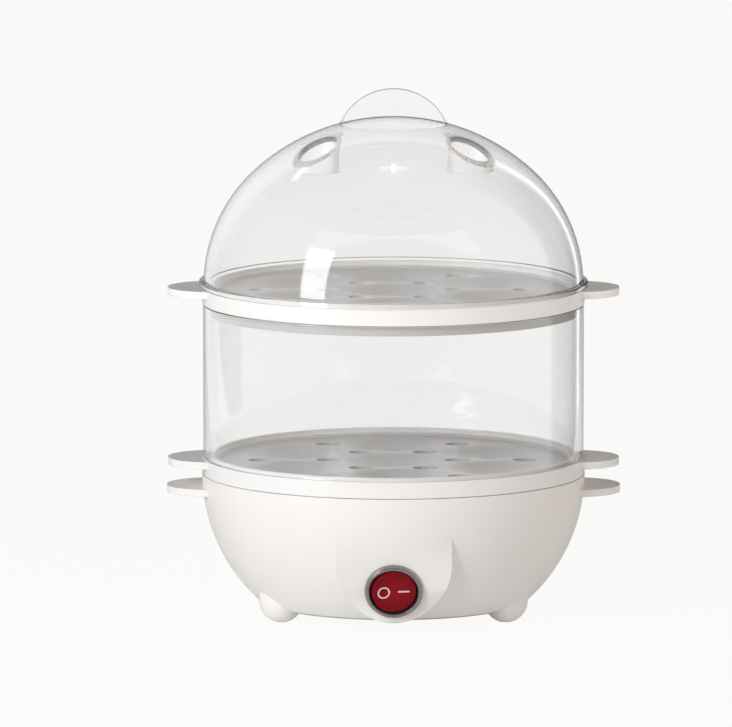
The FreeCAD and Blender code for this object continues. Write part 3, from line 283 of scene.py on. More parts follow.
def see_through(name, rgb, ior, wave_mm, matt_vents=None):
    """A clear, polished moulding that lamps shine through, with the faint waviness that its mould leaves.

    matt_vents (roughness, clarity) leaves the dome's vents matt and slightly milky."""
    material, tree = new_material(name)
    place = node(tree, "ShaderNodeTexCoord").outputs["Object"]
    wave_depth_mm = 0.004
    shader = node(tree, "ShaderNodeBsdfPrincipled", {
        "Base Color": rgba(rgb), "Roughness": 0.0, "IOR": ior, "Transmission Weight": 1.0,
        "Normal": relief(tree, place, wave_mm, wave_depth_mm, detail=1.0)})
    if matt_vents:
        sizes = settings()[0]
        gap = folded_gap(tree, place, sizes.vent_x, sizes.vent_y)
        reach = sizes.vent_radius + 0.2 * MM
        for label, inside, outside in zip(("Roughness", "Transmission Weight"), matt_vents, (0.0, 1.0)):
            value = node(tree, "ShaderNodeMapRange", [gap, reach, reach * 1.1, inside, outside])
            tree.links.new(value.outputs[0], shader.inputs[label])
    clear = node(tree, "ShaderNodeBsdfTransparent", {"Color": rgba(rgb, 0.96)})
    shadow = node(tree, "ShaderNodeLightPath").outputs["Is Shadow Ray"]
    return ended(material, tree, node(tree, "ShaderNodeMixShader", [shadow, shader, clear]))


def rocker_plastic(name, rgb):
    """Tinted plastic of the rocker: glossy, with painted shade that deepens its tone towards its rim."""
    material, tree = new_material(name)
    place = node(tree, "ShaderNodeTexCoord").outputs["Object"]
    centre, radius = rocker_frame() @ Vector((0, 0, 2 * MM)), 11 * MM
    centred = node(tree, "ShaderNodeMapping", {"Vector": place, "Location": centre, "Scale": [radius] * 3},
                   vector_type="TEXTURE")
    disc = node(tree, "ShaderNodeTexGradient", [centred], gradient_type="SPHERICAL")
    # Painted shade: the tone darkens from the middle out to the rim.
    deep, pale = rgba(rgb, 0.55), rgba(rgb, 1.1)
    tone = node(tree, "ShaderNodeMix", {0: disc.outputs["Fac"], MIX_A: deep, MIX_B: pale}, data_type="RGBA")
    return ended(material, tree, node(tree, "ShaderNodeBsdfPrincipled", {
        "Base Color": tone.outputs[MIX_RESULT], "Roughness": 0.2, "IOR": 1.5, "Specular IOR Level": 0.12,
        "Normal": relief(tree, place, size_mm=0.6, depth_mm=0.0015, detail=2.0)}))


def earth_sleeve(name, rgb, second, stripe_mm):
    """Wire sleeve with stripes of two colours, as on an earth wire. stripe_mm is how wide one is."""
    material, tree = new_material(name)
    place = node(tree, "ShaderNodeTexCoord").outputs["Object"]
    radians_at_one, yellow_from = 20, 0.55
    scale = math.pi / (stripe_mm * MM * radians_at_one)
    stripes = node(tree, "ShaderNodeTexWave", {"Vector": place, "Scale": scale}, bands_direction="Z")
    split = node(tree, "ShaderNodeMath", [stripes.outputs["Fac"], yellow_from], operation="GREATER_THAN")
    tone = node(tree, "ShaderNodeMix", {0: split, MIX_A: rgba(rgb), MIX_B: rgba(linear(second))},
                data_type="RGBA")
    return ended(material, tree, node(tree, "ShaderNodeBsdfPrincipled", {
        "Base Color": tone.outputs[MIX_RESULT], "Roughness": 0.45, "IOR": 1.53}))


# Each finish: its maker, a hex colour or the name of one that the user may change, and the maker's values.
FINISHES = {
    # White polypropylene, satin mould: soft broad highlight, faint grain, edges a touch rounded, and a
    # painted shade line where the base turns under.
    "satin_polypropylene": (moulded, "shell", dict(roughness=0.34, grain_mm=0.9, depth_mm=0.004, ior=1.49,
                                                   mottle=0.015, edge_mm=0.4, shade=painted_shade_of_base)),
    # The same plastic in the trays: a little glossier, with shallow hollows in its thick places, and painted
    # shade on the floor and the skirt.
    "tray_polypropylene": (moulded, "tray", dict(roughness=0.3, grain_mm=0.9, depth_mm=0.003, ior=1.49,
                                                 mottle=0.015, edge_mm=0.35, sink_mm=0.12,
                                                 shade=painted_shade_of_tray)),
    # Clear styrene-acrylonitrile, polished mould: hard glassy shine, a little wavy.
    "clear_styrene": (see_through, "clear", dict(ior=1.57, wave_mm=14.0)),
    # The same styrene in the dome, whose vent tubes are left matt by a spark-cut mould.
    "clear_styrene_dome": (see_through, "clear", dict(ior=1.57, wave_mm=14.0, matt_vents=(0.3, 0.78))),
    # Bright nickel-chrome on plastic: mirror-like, with a few soft marks.
    "plated_chrome": (metal, "bezel", dict(roughness=0.07, streak_mm=(3, 3, 3), depth_mm=0.0008)),
    # Polycarbonate tinted red, polished mould: glossy, with painted shade that deepens its tone towards its
    # rim.
    "tinted_polycarbonate": (rocker_plastic, "rocker", {}),
    # Pad-printed ink: flat, slightly rough, off-white.
    "pad_print_ink": (moulded, "marks", dict(roughness=0.5, grain_mm=0.3, depth_mm=0.002)),
    # Black nylon 66, glass-filled: dull, with a coarse grain.
    "black_nylon": (moulded, "#232323", dict(roughness=0.55, grain_mm=0.5, depth_mm=0.008, ior=1.53,
                                             mottle=0.1, edge_mm=0.2)),
    # Pale heat-proof polybutylene: matt, slightly yellow.
    "matt_polybutylene": (moulded, "#D9D6CF", dict(roughness=0.5, grain_mm=0.7, depth_mm=0.006, mottle=0.04,
                                                   edge_mm=0.3)),
    # Natural polyamide of the terminal block: milky and soft-looking.
    "milky_polyamide": (moulded, "#E4E0D2", dict(roughness=0.42, grain_mm=0.6, depth_mm=0.004, ior=1.53,
                                                 mottle=0.04, edge_mm=0.3)),
    # Black rubber, pressure-moulded: dull with a slight bloom.
    "moulded_rubber": (moulded, "#26262A", dict(roughness=0.72, grain_mm=0.6, depth_mm=0.01, ior=1.52,
                                                mottle=0.15, sheen=0.15)),
    # Silicone seal, moulded: grey-white, soft, faintly shiny.
    "silicone_rubber": (moulded, "#C9C5BE", dict(roughness=0.48, grain_mm=0.8, depth_mm=0.004, ior=1.41,
                                                 mottle=0.05)),
    # Pressed stainless dish: fine polishing lines, slightly warm.
    "polished_stainless": (metal, "#BFBDBA", dict(roughness=0.24, streak_mm=(40, 0.5, 40), depth_mm=0.0015)),
    # Rolled aluminium sheet: pale, soft lines from the mill.
    "mill_aluminium": (metal, "#C9CBCE", dict(roughness=0.38, streak_mm=(0.4, 30, 30), depth_mm=0.002)),
    # Nickel-steel element sheath, dulled to brown-grey by heat.
    "heated_sheath": (metal, "#6E6A66", dict(roughness=0.5, streak_mm=(1.5, 1.5, 1.5), depth_mm=0.006,
                                             stain="#4B4238")),
    # Zinc-plated steel: grey with a faint blue and yellow bloom.
    "zinc_plate": (metal, "#B4B8BD", dict(roughness=0.3, streak_mm=(0.5, 4, 4), depth_mm=0.002,
                                          stain="#AFAA93", edge_mm=0.15)),
    # Drawn aluminium can of the thermostat and the fuse: pale, with soft upright marks.
    "drawn_aluminium": (metal, "#C4C5C8", dict(roughness=0.28, streak_mm=(6, 6, 0.4), depth_mm=0.002,
                                               edge_mm=0.2)),
    # Tinned brass of contacts and lugs: warm, dull.
    "tinned_brass": (metal, "#C2A35A", dict(roughness=0.34, streak_mm=(0.4, 5, 5), depth_mm=0.002,
                                            stain="#9F9470")),
    # Natural acetal of the plunger: ivory, waxy.
    "natural_acetal": (moulded, "#DEDACB", dict(roughness=0.36, grain_mm=0.4, depth_mm=0.002, ior=1.48)),
    # Spring wire: bright drawn steel.
    "spring_wire": (metal, "#9FA2A6", dict(roughness=0.22, streak_mm=(0.2, 0.2, 2), depth_mm=0.001)),
    # Glass of the neon lamp: clear, with a warm tint.
    "lamp_glass": (see_through, "#FFE2C8", dict(ior=1.5, wave_mm=3.0)),
    # PVC wire sleeves, extruded: soft, semi-gloss, and the earth wire's in two colours.
    "brown_sleeve": (moulded, "#5A3420", dict(roughness=0.42, grain_mm=0.8, depth_mm=0.003, ior=1.53)),
    "blue_sleeve": (moulded, "#2E63B0", dict(roughness=0.42, grain_mm=0.8, depth_mm=0.003, ior=1.53)),
    "green_yellow_sleeve": (earth_sleeve, "#2F8A3A", dict(second="#E3C62F", stripe_mm=3.0 * math.pi)),
}


def finish_of(name):
    """The named material, made on first use."""
    made = bpy.data.materials.get(name)
    if not made:
        maker, tint, values = FINISHES[name]
        made = maker(name, linear(tint) if tint.startswith("#") else getattr(settings()[1], tint), **values)
    return made


# ---------------------------------------------------------------- meshes

def placed(name, data):
    """A new object in the scene."""
    thing = bpy.data.objects.new(name, data)
    bpy.context.scene.collection.objects.link(thing)
    return thing


def settled(thing):
    """A new mesh of an object with its modifiers applied."""
    return bpy.data.meshes.new_from_object(thing.evaluated_get(bpy.context.evaluated_depsgraph_get()))


def shown(name, mesh, finish, body, slot, *replaced, angle=30.0):
    """Puts a finished mesh in the scene, shaded smooth up to an angle, riding on its body."""
    mesh.name = name
    mesh.materials.clear()
    mesh.materials.append(finish_of(finish))
    mesh.shade_smooth()
    mesh.set_sharp_from_angle(angle=math.radians(angle))
    piece = placed(name, mesh)
    even = piece.modifiers.new("even_shading", "WEIGHTED_NORMAL")
    even.mode, even.keep_sharp = "FACE_AREA_WITH_ANGLE", True
    piece.data = settled(piece)
    piece.modifiers.remove(even)
    piece.data.name = name
    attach(piece, body)
    if replaced:
        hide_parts(*replaced)
    return piece


def reworked(mesh, change):
    """The mesh after a function has changed it as a bmesh."""
    work = bmesh.new()
    work.from_mesh(mesh)
    change(work)
    work.to_mesh(mesh)
    work.free()
    return mesh


def faced_out(mesh):
    """The mesh with outward normals."""
    return reworked(mesh, lambda work: bmesh.ops.recalc_face_normals(work, faces=work.faces))


def mesh_of(name, points, faces):
    """A mesh with outward normals from points and faces."""
    mesh = bpy.data.meshes.new(name)
    mesh.from_pydata(points, [], faces)
    return faced_out(mesh)


def moved(mesh, matrix):
    """The mesh after a transform."""
    mesh.transform(matrix)
    return mesh


def merged(node_name):
    """A copy of a CAD node's mesh with its loose triangles joined."""
    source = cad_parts[node_name].data
    mesh = bpy.data.meshes.new(node_name + "_joined")
    mesh.from_pydata([v.co for v in source.vertices], [], [p.vertices for p in source.polygons])
    return reworked(mesh, lambda work: bmesh.ops.remove_doubles(work, verts=work.verts, dist=1e-6))


def joined(mesh, *cuts):
    """The mesh after boolean steps. Each step is (operation, mesh)."""
    target = placed("boolean_target", mesh)
    tools = []
    for operation, other in cuts:
        tools.append(placed("boolean_tool", other))
        step = target.modifiers.new("step", "BOOLEAN")
        step.operation, step.solver, step.object = operation, "MANIFOLD", tools[-1]
    result = settled(target)
    for item in [target] + tools:
        bpy.data.objects.remove(item)
    return result


def bands(rows, steps):
    """Faces between rows of points that go round an axis. A row of one point is a pole."""
    faces = []
    for low, high in zip(rows, rows[1:]):
        for k in range(steps):
            following = (k + 1) % steps
            face = [low[k % len(low)], low[following % len(low)], high[following % len(high)],
                    high[k % len(high)]]
            faces.append(list(dict.fromkeys(face)))
    return faces


def lathe(name, profile, steps, closed=False):
    """A closed mesh turned about Z from (radius, height) points.

    An open profile starts and ends on the axis, and a closed one is a loop that stays off it."""
    points, rows = [], []
    for radius, height in profile:
        count = steps if radius > 1e-9 else 1
        rows.append(list(range(len(points), len(points) + count)))
        points += [(radius * math.cos(math.tau * k / steps), radius * math.sin(math.tau * k / steps), height)
                   for k in range(count)]
    if closed:
        rows.append(rows[0])
    return mesh_of(name, points, bands(rows, steps))


def rod(name, radius, start, end, steps=32):
    """A closed round rod along Z."""
    return lathe(name, [(0.0, start), (radius, start), (radius, end), (0.0, end)], steps)


def rounded(corners, steps=5):
    """A profile whose corners (radius, height, rounding) are turned into arcs."""
    result = []
    count = len(corners)
    for index, (x, y, rounding) in enumerate(corners):
        here = Vector((x, y))
        if rounding <= 0:
            result.append((x, y))
            continue
        back = (Vector(corners[index - 1][:2]) - here).normalized()
        ahead = (Vector(corners[(index + 1) % count][:2]) - here).normalized()
        half = back.angle(ahead) / 2
        reach = rounding / math.tan(half)
        centre = here + (back + ahead).normalized() * (rounding / math.sin(half))
        start, end = here + back * reach - centre, here + ahead * reach - centre
        turn = math.pi - 2 * half
        for k in range(steps + 1):
            share = k / steps
            weight = math.sin((1 - share) * turn), math.sin(share * turn)
            result.append(tuple(centre + (start * weight[0] + end * weight[1]) / math.sin(turn)))
    return result


def arc(centre, radius, start, end, steps):
    """Points of an arc in a turning profile. Angles are in radians from the outward direction."""
    return [(centre[0] + radius * math.cos(start + (end - start) * k / steps),
             centre[1] + radius * math.sin(start + (end - start) * k / steps)) for k in range(steps + 1)]


def true_normals(mesh, rings):
    """Gives corners that lie on known turned surfaces their exact normals.

    Each ring is (x, y, centre radius, centre height, radius) of a torus or sphere about an upright axis."""
    near, facing_enough, tiny = 0.03 * MM, 0.985, 1e-12
    points = np.array([v.co for v in mesh.vertices])
    corners = np.array([corner.vertex_index for corner in mesh.loops])
    sides = np.zeros((len(corners), 3))
    for face in mesh.polygons:
        sides[face.loop_start:face.loop_start + face.loop_total] = face.normal
    result = np.array([corner.vector for corner in mesh.corner_normals])
    place = points[corners]
    best = np.full(len(corners), near)
    for x, y, centre_radius, centre_height, radius in rings:
        across = place[:, :2] - (x, y)
        reach = np.maximum(np.linalg.norm(across, axis=1), tiny)
        out, up = reach - centre_radius, place[:, 2] - centre_height
        distance = np.hypot(out, up)
        normal = np.column_stack((across / reach[:, None] * out[:, None], up))
        normal /= np.maximum(distance, tiny)[:, None]
        facing = np.sum(normal * sides, axis=1)
        fits = (abs(distance - radius) < best) & (abs(facing) > facing_enough)
        result[fits] = normal[fits] * np.sign(facing[fits])[:, None]
        best[fits] = abs(distance - radius)[fits]
    mesh.normals_split_custom_set(result.tolist())


# ---------------------------------------------------------------- geometry node trees

def node_tree(name, floats, others=()):
    """A geometry tree with named inputs and a geometry output. Returns the tree and its inputs."""
    tree = bpy.data.node_groups.new(name, "GeometryNodeTree")
    tree.interface.new_socket("Geometry", in_out="INPUT", socket_type="NodeSocketGeometry")
    tree.interface.new_socket("Geometry", in_out="OUTPUT", socket_type="NodeSocketGeometry")
    for label, kind in [(label, "Float") for label in floats] + [*others, ("Material", "Material")]:
        tree.interface.new_socket(label, in_out="INPUT", socket_type="NodeSocket" + kind)
    return tree, tree.nodes.new("NodeGroupInput").outputs


def finish_tree(tree, inputs, geometry):
    """Ends a tree: real geometry, its material, its output. Returns the tree."""
    real = node(tree, "GeometryNodeRealizeInstances", [geometry])
    dressed = node(tree, "GeometryNodeSetMaterial", {"Geometry": real, "Material": inputs["Material"]})
    node(tree, "NodeGroupOutput", [dressed])
    return tree


def grown(name, tree, values, points=((0, 0, 0),)):
    """The mesh that a tree makes from starting points and named values."""
    start = bpy.data.meshes.new(name)
    start.from_pydata(points, [], [])
    carrier = placed(name, start)
    growth = carrier.modifiers.new("growth", "NODES")
    growth.node_group = tree
    places = {item.name: item.identifier for item in tree.interface.items_tree if item.in_out == "INPUT"}
    for label, value in values.items():
        growth[places[label]] = value
    mesh = settled(carrier)
    carrier.modifiers.remove(growth)
    bpy.data.objects.remove(carrier)
    return mesh


def ring_tree():
    """Sweeps a rounded upright section round a circle."""
    tree, inputs = node_tree("clear_ring_growth", ("Middle Radius", "Wall", "Height", "Bottom", "Edge"),
                             [("Steps", "Int")])
    path = node(tree, "GeometryNodeCurvePrimitiveCircle", {"Resolution": inputs["Steps"],
                                                           "Radius": inputs["Middle Radius"]})
    section = node(tree, "GeometryNodeCurvePrimitiveQuadrilateral", {"Width": inputs["Wall"],
                                                                     "Height": inputs["Height"]})
    soft = node(tree, "GeometryNodeFilletCurve", {"Curve": section, "Radius": inputs["Edge"], "Count": 4},
                mode="POLY")
    swept = node(tree, "GeometryNodeCurveToMesh", {"Curve": path, "Profile Curve": soft})
    half = node(tree, "ShaderNodeMath", [inputs["Height"], 0.5], operation="MULTIPLY")
    lift = node(tree, "ShaderNodeMath", [inputs["Bottom"], half], operation="ADD")
    offset = node(tree, "ShaderNodeCombineXYZ", {"Z": lift})
    stood = node(tree, "GeometryNodeTransform", {"Geometry": swept, "Translation": offset})
    return finish_tree(tree, inputs, stood)


SCREW_LABELS = ("Head Radius", "Neck Radius", "Head Height", "Shank Radius", "Recess Length", "Recess Width",
                "Recess Depth")


def screw_tree():
    """One screw with a cross recess on every point, its head's face at the point and its shank towards +Z."""
    tree, inputs = node_tree("screw_growth", ("Length", *SCREW_LABELS), [("Turn", "Rotation")])
    body = node(tree, "GeometryNodeMeshBoolean", operation="UNION", solver="EXACT")
    for sides, low, high, depth in ((32, "Head Radius", "Neck Radius", "Head Height"),
                                    (24, "Shank Radius", "Shank Radius", "Length")):
        part = node(tree, "GeometryNodeMeshCone", {"Vertices": sides, "Radius Bottom": inputs[low],
                                                   "Radius Top": inputs[high], "Depth": inputs[depth]})
        tree.links.new(part.outputs["Mesh"], body.inputs["Mesh 2"])
    twice = node(tree, "ShaderNodeMath", [inputs["Recess Depth"], 2.0], operation="MULTIPLY")
    recess = node(tree, "GeometryNodeMeshBoolean", {"Mesh 1": body}, operation="DIFFERENCE", solver="EXACT")
    for along, across in (("Recess Length", "Recess Width"), ("Recess Width", "Recess Length")):
        extent = node(tree, "ShaderNodeCombineXYZ", [inputs[along], inputs[across], twice])
        slot = node(tree, "GeometryNodeMeshCube", {"Size": extent})
        tree.links.new(slot.outputs["Mesh"], recess.inputs["Mesh 2"])
    copies = node(tree, "GeometryNodeInstanceOnPoints", {"Points": inputs["Geometry"], "Instance": recess,
                                                         "Rotation": inputs["Turn"]})
    return finish_tree(tree, inputs, copies)


def spring_tree():
    """A coil spring that stands on the origin along +Z."""
    tree, inputs = node_tree("spring_growth", ("Coil Radius", "Wire Radius", "Turns", "Height"))
    path = node(tree, "GeometryNodeCurveSpiral", {
        "Resolution": 20, "Rotations": inputs["Turns"], "Start Radius": inputs["Coil Radius"],
        "End Radius": inputs["Coil Radius"], "Height": inputs["Height"]})
    wire = node(tree, "GeometryNodeCurvePrimitiveCircle", {"Resolution": 8, "Radius": inputs["Wire Radius"]})
    coil = node(tree, "GeometryNodeCurveToMesh", {"Curve": path, "Profile Curve": wire, "Fill Caps": True})
    return finish_tree(tree, inputs, coil)


# ---------------------------------------------------------------- base, trays and clear pieces

def on_pod(place, normal):
    """Whether a place with a normal is on the upper part of the switch pod's face, or on its top ledge."""
    face_low, face_high, ledge_low, ledge_high = 25 * MM, 39.75 * MM, 37 * MM, 41 * MM
    half_width, front = 22.95 * MM, -62 * MM
    faces_out, faces_up = 0.8, 0.6
    face = face_low < place.z < face_high and normal.dot(POD_OUT) > faces_out
    ledge = ledge_low < place.z < ledge_high and normal.z > faces_up
    return abs(place.x) < half_width and place.y < front and (face or ledge)


def cut_pod(work):
    """Cuts the switch pod's face into strips, so that its shading can run out into the bowl's."""
    planes = [((0, 0, level_mm * MM), (0, 0, 1)) for level_mm in range(29, 42)]
    planes += [((across_mm * MM, 0, 0), (1, 0, 0)) for across_mm in range(-21, 22, 3)]
    for place, normal in planes:
        faces = [face for face in work.faces if on_pod(face.calc_center_median(), face.normal)]
        edges = {edge for face in faces for edge in face.edges}
        points = {point for face in faces for point in face.verts}
        bmesh.ops.bisect_plane(work, geom=faces + list(edges) + list(points), plane_co=place, plane_no=normal,
                               dist=1e-7)


def melt_pod(mesh, reach, seam):
    """Turns the normals at the top of the pod's face gently into those of the bowl above."""
    top, run = 39.8 * MM, 11 * MM
    normals = [corner.vector.copy() for corner in mesh.corner_normals]
    for face in mesh.polygons:
        if not on_pod(face.center, face.normal):
            continue
        for index in face.loop_indices:
            place = mesh.vertices[mesh.loops[index].vertex_index].co
            share = min(1.0, max(0.0, (top - place.z) / run))
            share = share * share * (3 - 2 * share)
            across = math.hypot(place.x, place.y)
            bowl = Vector((place.x * (across - reach) / across, place.y * (across - reach) / across,
                           place.z - seam)).normalized()
            normals[index] = bowl.lerp(POD_OUT, share).normalized()
    mesh.normals_split_custom_set(normals)


def make_base():
    """The moulded base, with exact normals on its turned surfaces."""
    mesh = reworked(merged("base_shell"), cut_pod)
    base = shown("moulded_base", mesh, "satin_polypropylene", "base", "white_plastic", "base_shell", angle=24)
    seam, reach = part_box("base_shell")[1].z, BOWL_REACH_MM * MM
    rings = [(0, 0, reach, seam, (BOWL_CURVE_MM - wall_mm) * MM) for wall_mm in (0.0, BOWL_WALL_MM)]
    ball_height = math.sqrt(FOOT_BALL_MM ** 2 - FOOT_FLAT_MM ** 2) * MM
    rings += [(x * FOOT_X_MM * MM, y * FOOT_Y_MM * MM, 0, ball_height, FOOT_BALL_MM * MM)
              for x in (1, -1) for y in (1, -1)]
    true_normals(base.data, rings)
    melt_pod(base.data, reach, seam)


def make_trays():
    """The two egg trays, each with a thin shadow gap under its ring."""
    gap = settings()[0].seam_gap
    for tier in ("lower", "upper"):
        node_name = tier + "_tray"
        mesh = merged(node_name)
        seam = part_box(node_name)[0].z + SKIRT_DROP_MM * MM
        for point in mesh.vertices:
            across = math.hypot(point.co.x, point.co.y)
            if abs(point.co.z - seam) < 0.01 * MM and across > SKIRT_OUTSIDE_MM * MM:
                point.co.z += gap
        shown(tier + "_egg_tray", mesh, "tray_polypropylene", tier + "_tier_tray", "tray_plastic", node_name,
              angle=24)


def make_tier_ring():
    """The clear ring between the trays, swept from a rounded section."""
    sizes = settings()[0]
    low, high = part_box("tier_ring")
    mesh = grown("clear_tier_ring", ring_tree(), {
        "Middle Radius": high.x - sizes.tier_wall / 2, "Wall": sizes.tier_wall, "Height": high.z - low.z,
        "Bottom": low.z, "Edge": sizes.tier_edge, "Steps": sizes.turning_steps,
        "Material": finish_of("clear_styrene")})
    shown("clear_tier_ring", faced_out(mesh), "clear_styrene", "clear_tier", "clear_plastic", "tier_ring",
          angle=50)


def dome_curves(sizes):
    """How far the side curve's middle stands from the axis, and the crown curve's radius."""
    crown = ((sizes.dome_radius ** 2 + sizes.dome_height ** 2 - 2 * sizes.dome_radius * sizes.side_curve)
             / (2 * (sizes.dome_height - sizes.side_curve)))
    return sizes.dome_radius - sizes.side_curve, crown


def dome_profile(sizes, seat, wall):
    """The dome's side and crown arcs from its foot to its pole, with a wall taken off."""
    reach, crown = dome_curves(sizes)
    middle = seat + sizes.dome_height - crown
    lean = math.atan2(seat - middle, reach)
    arc_steps = 36
    side = arc((reach, seat), sizes.side_curve - wall, 0, lean, arc_steps)
    top = arc((0, middle), crown - wall, lean, math.pi / 2, arc_steps)
    return side[:-1] + top[:-1] + [(0.0, middle + crown - wall)]


def vent_countersink(sizes, seat, place, sides):
    """What is taken off to round the rim where a steam vent opens through the dome."""
    crown = dome_curves(sizes)[1]
    rim, proud, beyond = sizes.vent_rim, 3 * MM, 0.6
    edge = [Vector(point) for point in arc((sizes.vent_bore + rim, -rim), rim, math.pi, math.pi / 2, 3)]
    first, last = edge[0] + (edge[0] - edge[1]) * beyond, edge[-1] + (edge[-1] - edge[-2]) * beyond
    profile = [(0.0, first.y), tuple(first)] + [tuple(point) for point in edge]
    profile += [tuple(last), (last.x, proud), (0.0, proud)]
    tool = moved(lathe("vent_countersink", profile, sides), place)
    for point in tool.vertices:
        across = point.co.x ** 2 + point.co.y ** 2
        point.co.z += seat + sizes.dome_height - crown + math.sqrt(crown ** 2 - across)
    return tool


def make_dome():
    """The clear dome with its rim bead, grip disc and two steam vents."""
    sizes = settings()[0]
    low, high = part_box("dome_lid")
    steps, disc_sides, vent_sides = sizes.turning_steps, 160, 96
    shoulder, tuck, foot_edge, top_edge, tube_edge = 0.8 * MM, 0.08 * MM, 0.3 * MM, 0.4 * MM, 0.4 * MM
    past = 1 * MM
    outside, inside = dome_profile(sizes, low.z, 0.0), dome_profile(sizes, low.z, sizes.dome_wall)
    bead_top, bead_out = low.z + sizes.bead_height, min(high.x, -low.y)
    above = [point for point in outside if point[1] > bead_top + shoulder]
    bead = rounded([(inside[0][0], low.z, foot_edge), (bead_out, low.z, sizes.bead_edge),
                    (bead_out, bead_top, sizes.bead_edge), (sizes.dome_radius - tuck, bead_top, top_edge),
                    (*above[0], 0.0)])
    shell = lathe("dome_shell", inside[:0:-1] + bead[:-1] + above, steps)
    solid_out = lathe("dome_solid", [(0.0, low.z)] + outside, steps)
    below = low.z - past
    solid_in = lathe("dome_room", [(0.0, below), (inside[0][0], below)] + inside, steps)
    half, edge = sizes.tab_thickness / 2, sizes.tab_edge
    disc = lathe("grip_disc", rounded([(0.0, -half, 0), (sizes.tab_radius, -half, edge),
                                       (sizes.tab_radius, half, edge), (0.0, half, 0)]), disc_sides)
    disc.transform(Matrix.Translation((0, 0, high.z - sizes.tab_radius)) @ QUARTER_TURN)
    cuts = [("UNION", joined(disc, ("DIFFERENCE", solid_in)))]
    bores = []
    foot = outside[-1][1] - sizes.vent_drop
    for side in (-1, 1):
        place = Matrix.Translation((side * sizes.vent_x, -sizes.vent_y, 0))
        tube = lathe("vent_tube", rounded([(0.0, foot, 0), (sizes.vent_radius, foot, tube_edge),
                                           (sizes.vent_radius, high.z, 0), (0.0, high.z, 0)]), vent_sides)
        cuts.append(("UNION", joined(moved(tube, place), ("INTERSECT", solid_out.copy()))))
        bore = rod("vent_bore", sizes.vent_bore, foot - past, high.z + past, vent_sides)
        bores += [("DIFFERENCE", moved(bore, place)),
                  ("DIFFERENCE", vent_countersink(sizes, low.z, place, vent_sides))]
    mesh = joined(shell, *cuts, *bores)
    dome = shown("clear_dome_lid", mesh, "clear_styrene_dome", "clear_dome", "clear_plastic", "dome_lid",
                 angle=35)
    reach, crown = dome_curves(sizes)
    true_normals(dome.data, [ring for wall in (0.0, sizes.dome_wall) for ring in (
        (0, 0, reach, low.z, sizes.side_curve - wall),
        (0, 0, 0, low.z + sizes.dome_height - crown, crown - wall))])


# ---------------------------------------------------------------- switch

def face_frame():
    """The frame of the pod's face at the switch's middle: X to the right, Y up the face, Z out of it."""
    up = Vector((0, -math.sin(POD_TILT), math.cos(POD_TILT)))
    matrix = Matrix((Vector((1, 0, 0)), up, POD_OUT)).transposed().to_4x4()
    return Matrix.Translation([value * MM for value in SWITCH_AT_MM]) @ matrix


def rocker_frame():
    """The frame of the rocker at rest, at its pivot."""
    pivot = Matrix.Translation((0, 0, -PIVOT_DEPTH_MM * MM))
    return face_frame() @ pivot @ Matrix.Rotation(REST_TILT, 4, "Y")


def hollow_height(x):
    """Height of the rocker's hollow face over its pivot, at a distance from its middle line."""
    curve, lowest = 42.8 * MM, 2.0 * MM
    return lowest + curve - math.sqrt(curve ** 2 - x ** 2)


def rocker_mesh():
    """The rocker's cap: a hollow face, a rounded rim and ball-shaped sides."""
    steps, face_rows, ball, edge = 144, 14, 9.25 * MM, 0.5 * MM
    points, rows = [(0, 0, hollow_height(0))], [[0]]
    shares = [k / face_rows for k in range(1, face_rows + 1)]
    rim_angles = [math.radians(a) for a in (72, 54, 36, 20)]
    skirt = [0.8 * MM, -0.3 * MM, -1.4 * MM, -2.5 * MM]
    for share in shares + rim_angles + skirt:
        rows.append(list(range(len(points), len(points) + steps)))
        for k in range(steps):
            turn = math.tau * k / steps
            height = hollow_height(ball * math.cos(turn))
            rim = math.sqrt(ball ** 2 - height ** 2) - edge
            if share in shares:
                reach = rim * share
                level = hollow_height(reach * math.cos(turn))
            elif share in rim_angles:
                reach = rim + edge * math.cos(share)
                level = hollow_height(rim * math.cos(turn)) - edge + edge * math.sin(share)
            else:
                level = share
                reach = math.sqrt(ball ** 2 - level ** 2)
            points.append((reach * math.cos(turn), reach * math.sin(turn), level))
    rows.append([len(points)])
    points.append((0, 0, skirt[-1]))
    return mesh_of("rocker_cap", points, bands(rows, steps))


def mark_mesh(name, inner, outer, centre, lift, steps=72):
    """A flat ring of ink that follows the rocker's hollow face."""
    points, faces = [], []
    for k in range(steps):
        turn = math.tau * k / steps
        for radius, level in ((inner, 0.0), (outer, 0.0), (outer, -lift), (inner, -lift)):
            x, y = centre + radius * math.cos(turn), radius * math.sin(turn)
            points.append((x, y, hollow_height(x) + lift / 2 + level))
        for side in range(4):
            following, other = (k + 1) % steps, (side + 1) % 4
            faces.append([4 * k + side, 4 * k + other, 4 * following + other, 4 * following + side])
    return mesh_of(name, points, faces)


def dash_mesh(name, span, width, centre, lift, steps=8):
    """A flat bar of ink with round ends that follows the rocker's hollow face."""
    straight, half = span / 2 - width / 2, width / 2
    edge = []
    for side in (1, -1):
        for k in range(steps + 1):
            turn = -math.pi / 2 + math.pi * k / steps
            edge.append((centre + side * (straight + half * math.cos(turn)), side * half * math.sin(turn)))
    points = [(x, y, hollow_height(x) + level) for level in (lift / 2, -lift / 2) for x, y in edge]
    count = len(edge)
    faces = [list(range(count)), list(range(2 * count - 1, count - 1, -1))]
    faces += [[k, (k + 1) % count, count + (k + 1) % count, count + k] for k in range(count)]
    return mesh_of(name, points, faces)


# The bezel's section: radius and height over the pod's face, and the corner's rounding.
BEZEL_MM = ((10.05, 0, 0.05), (11.5, 0, 0.05), (11.5, 0.75, 0.3), (10.95, 1.85, 0.35), (10.5, 2.1, 0.15),
            (9.72, 1.7, 0.1), (9.6, 1.25, 0.02), (10.05, 1.25, 0.02))


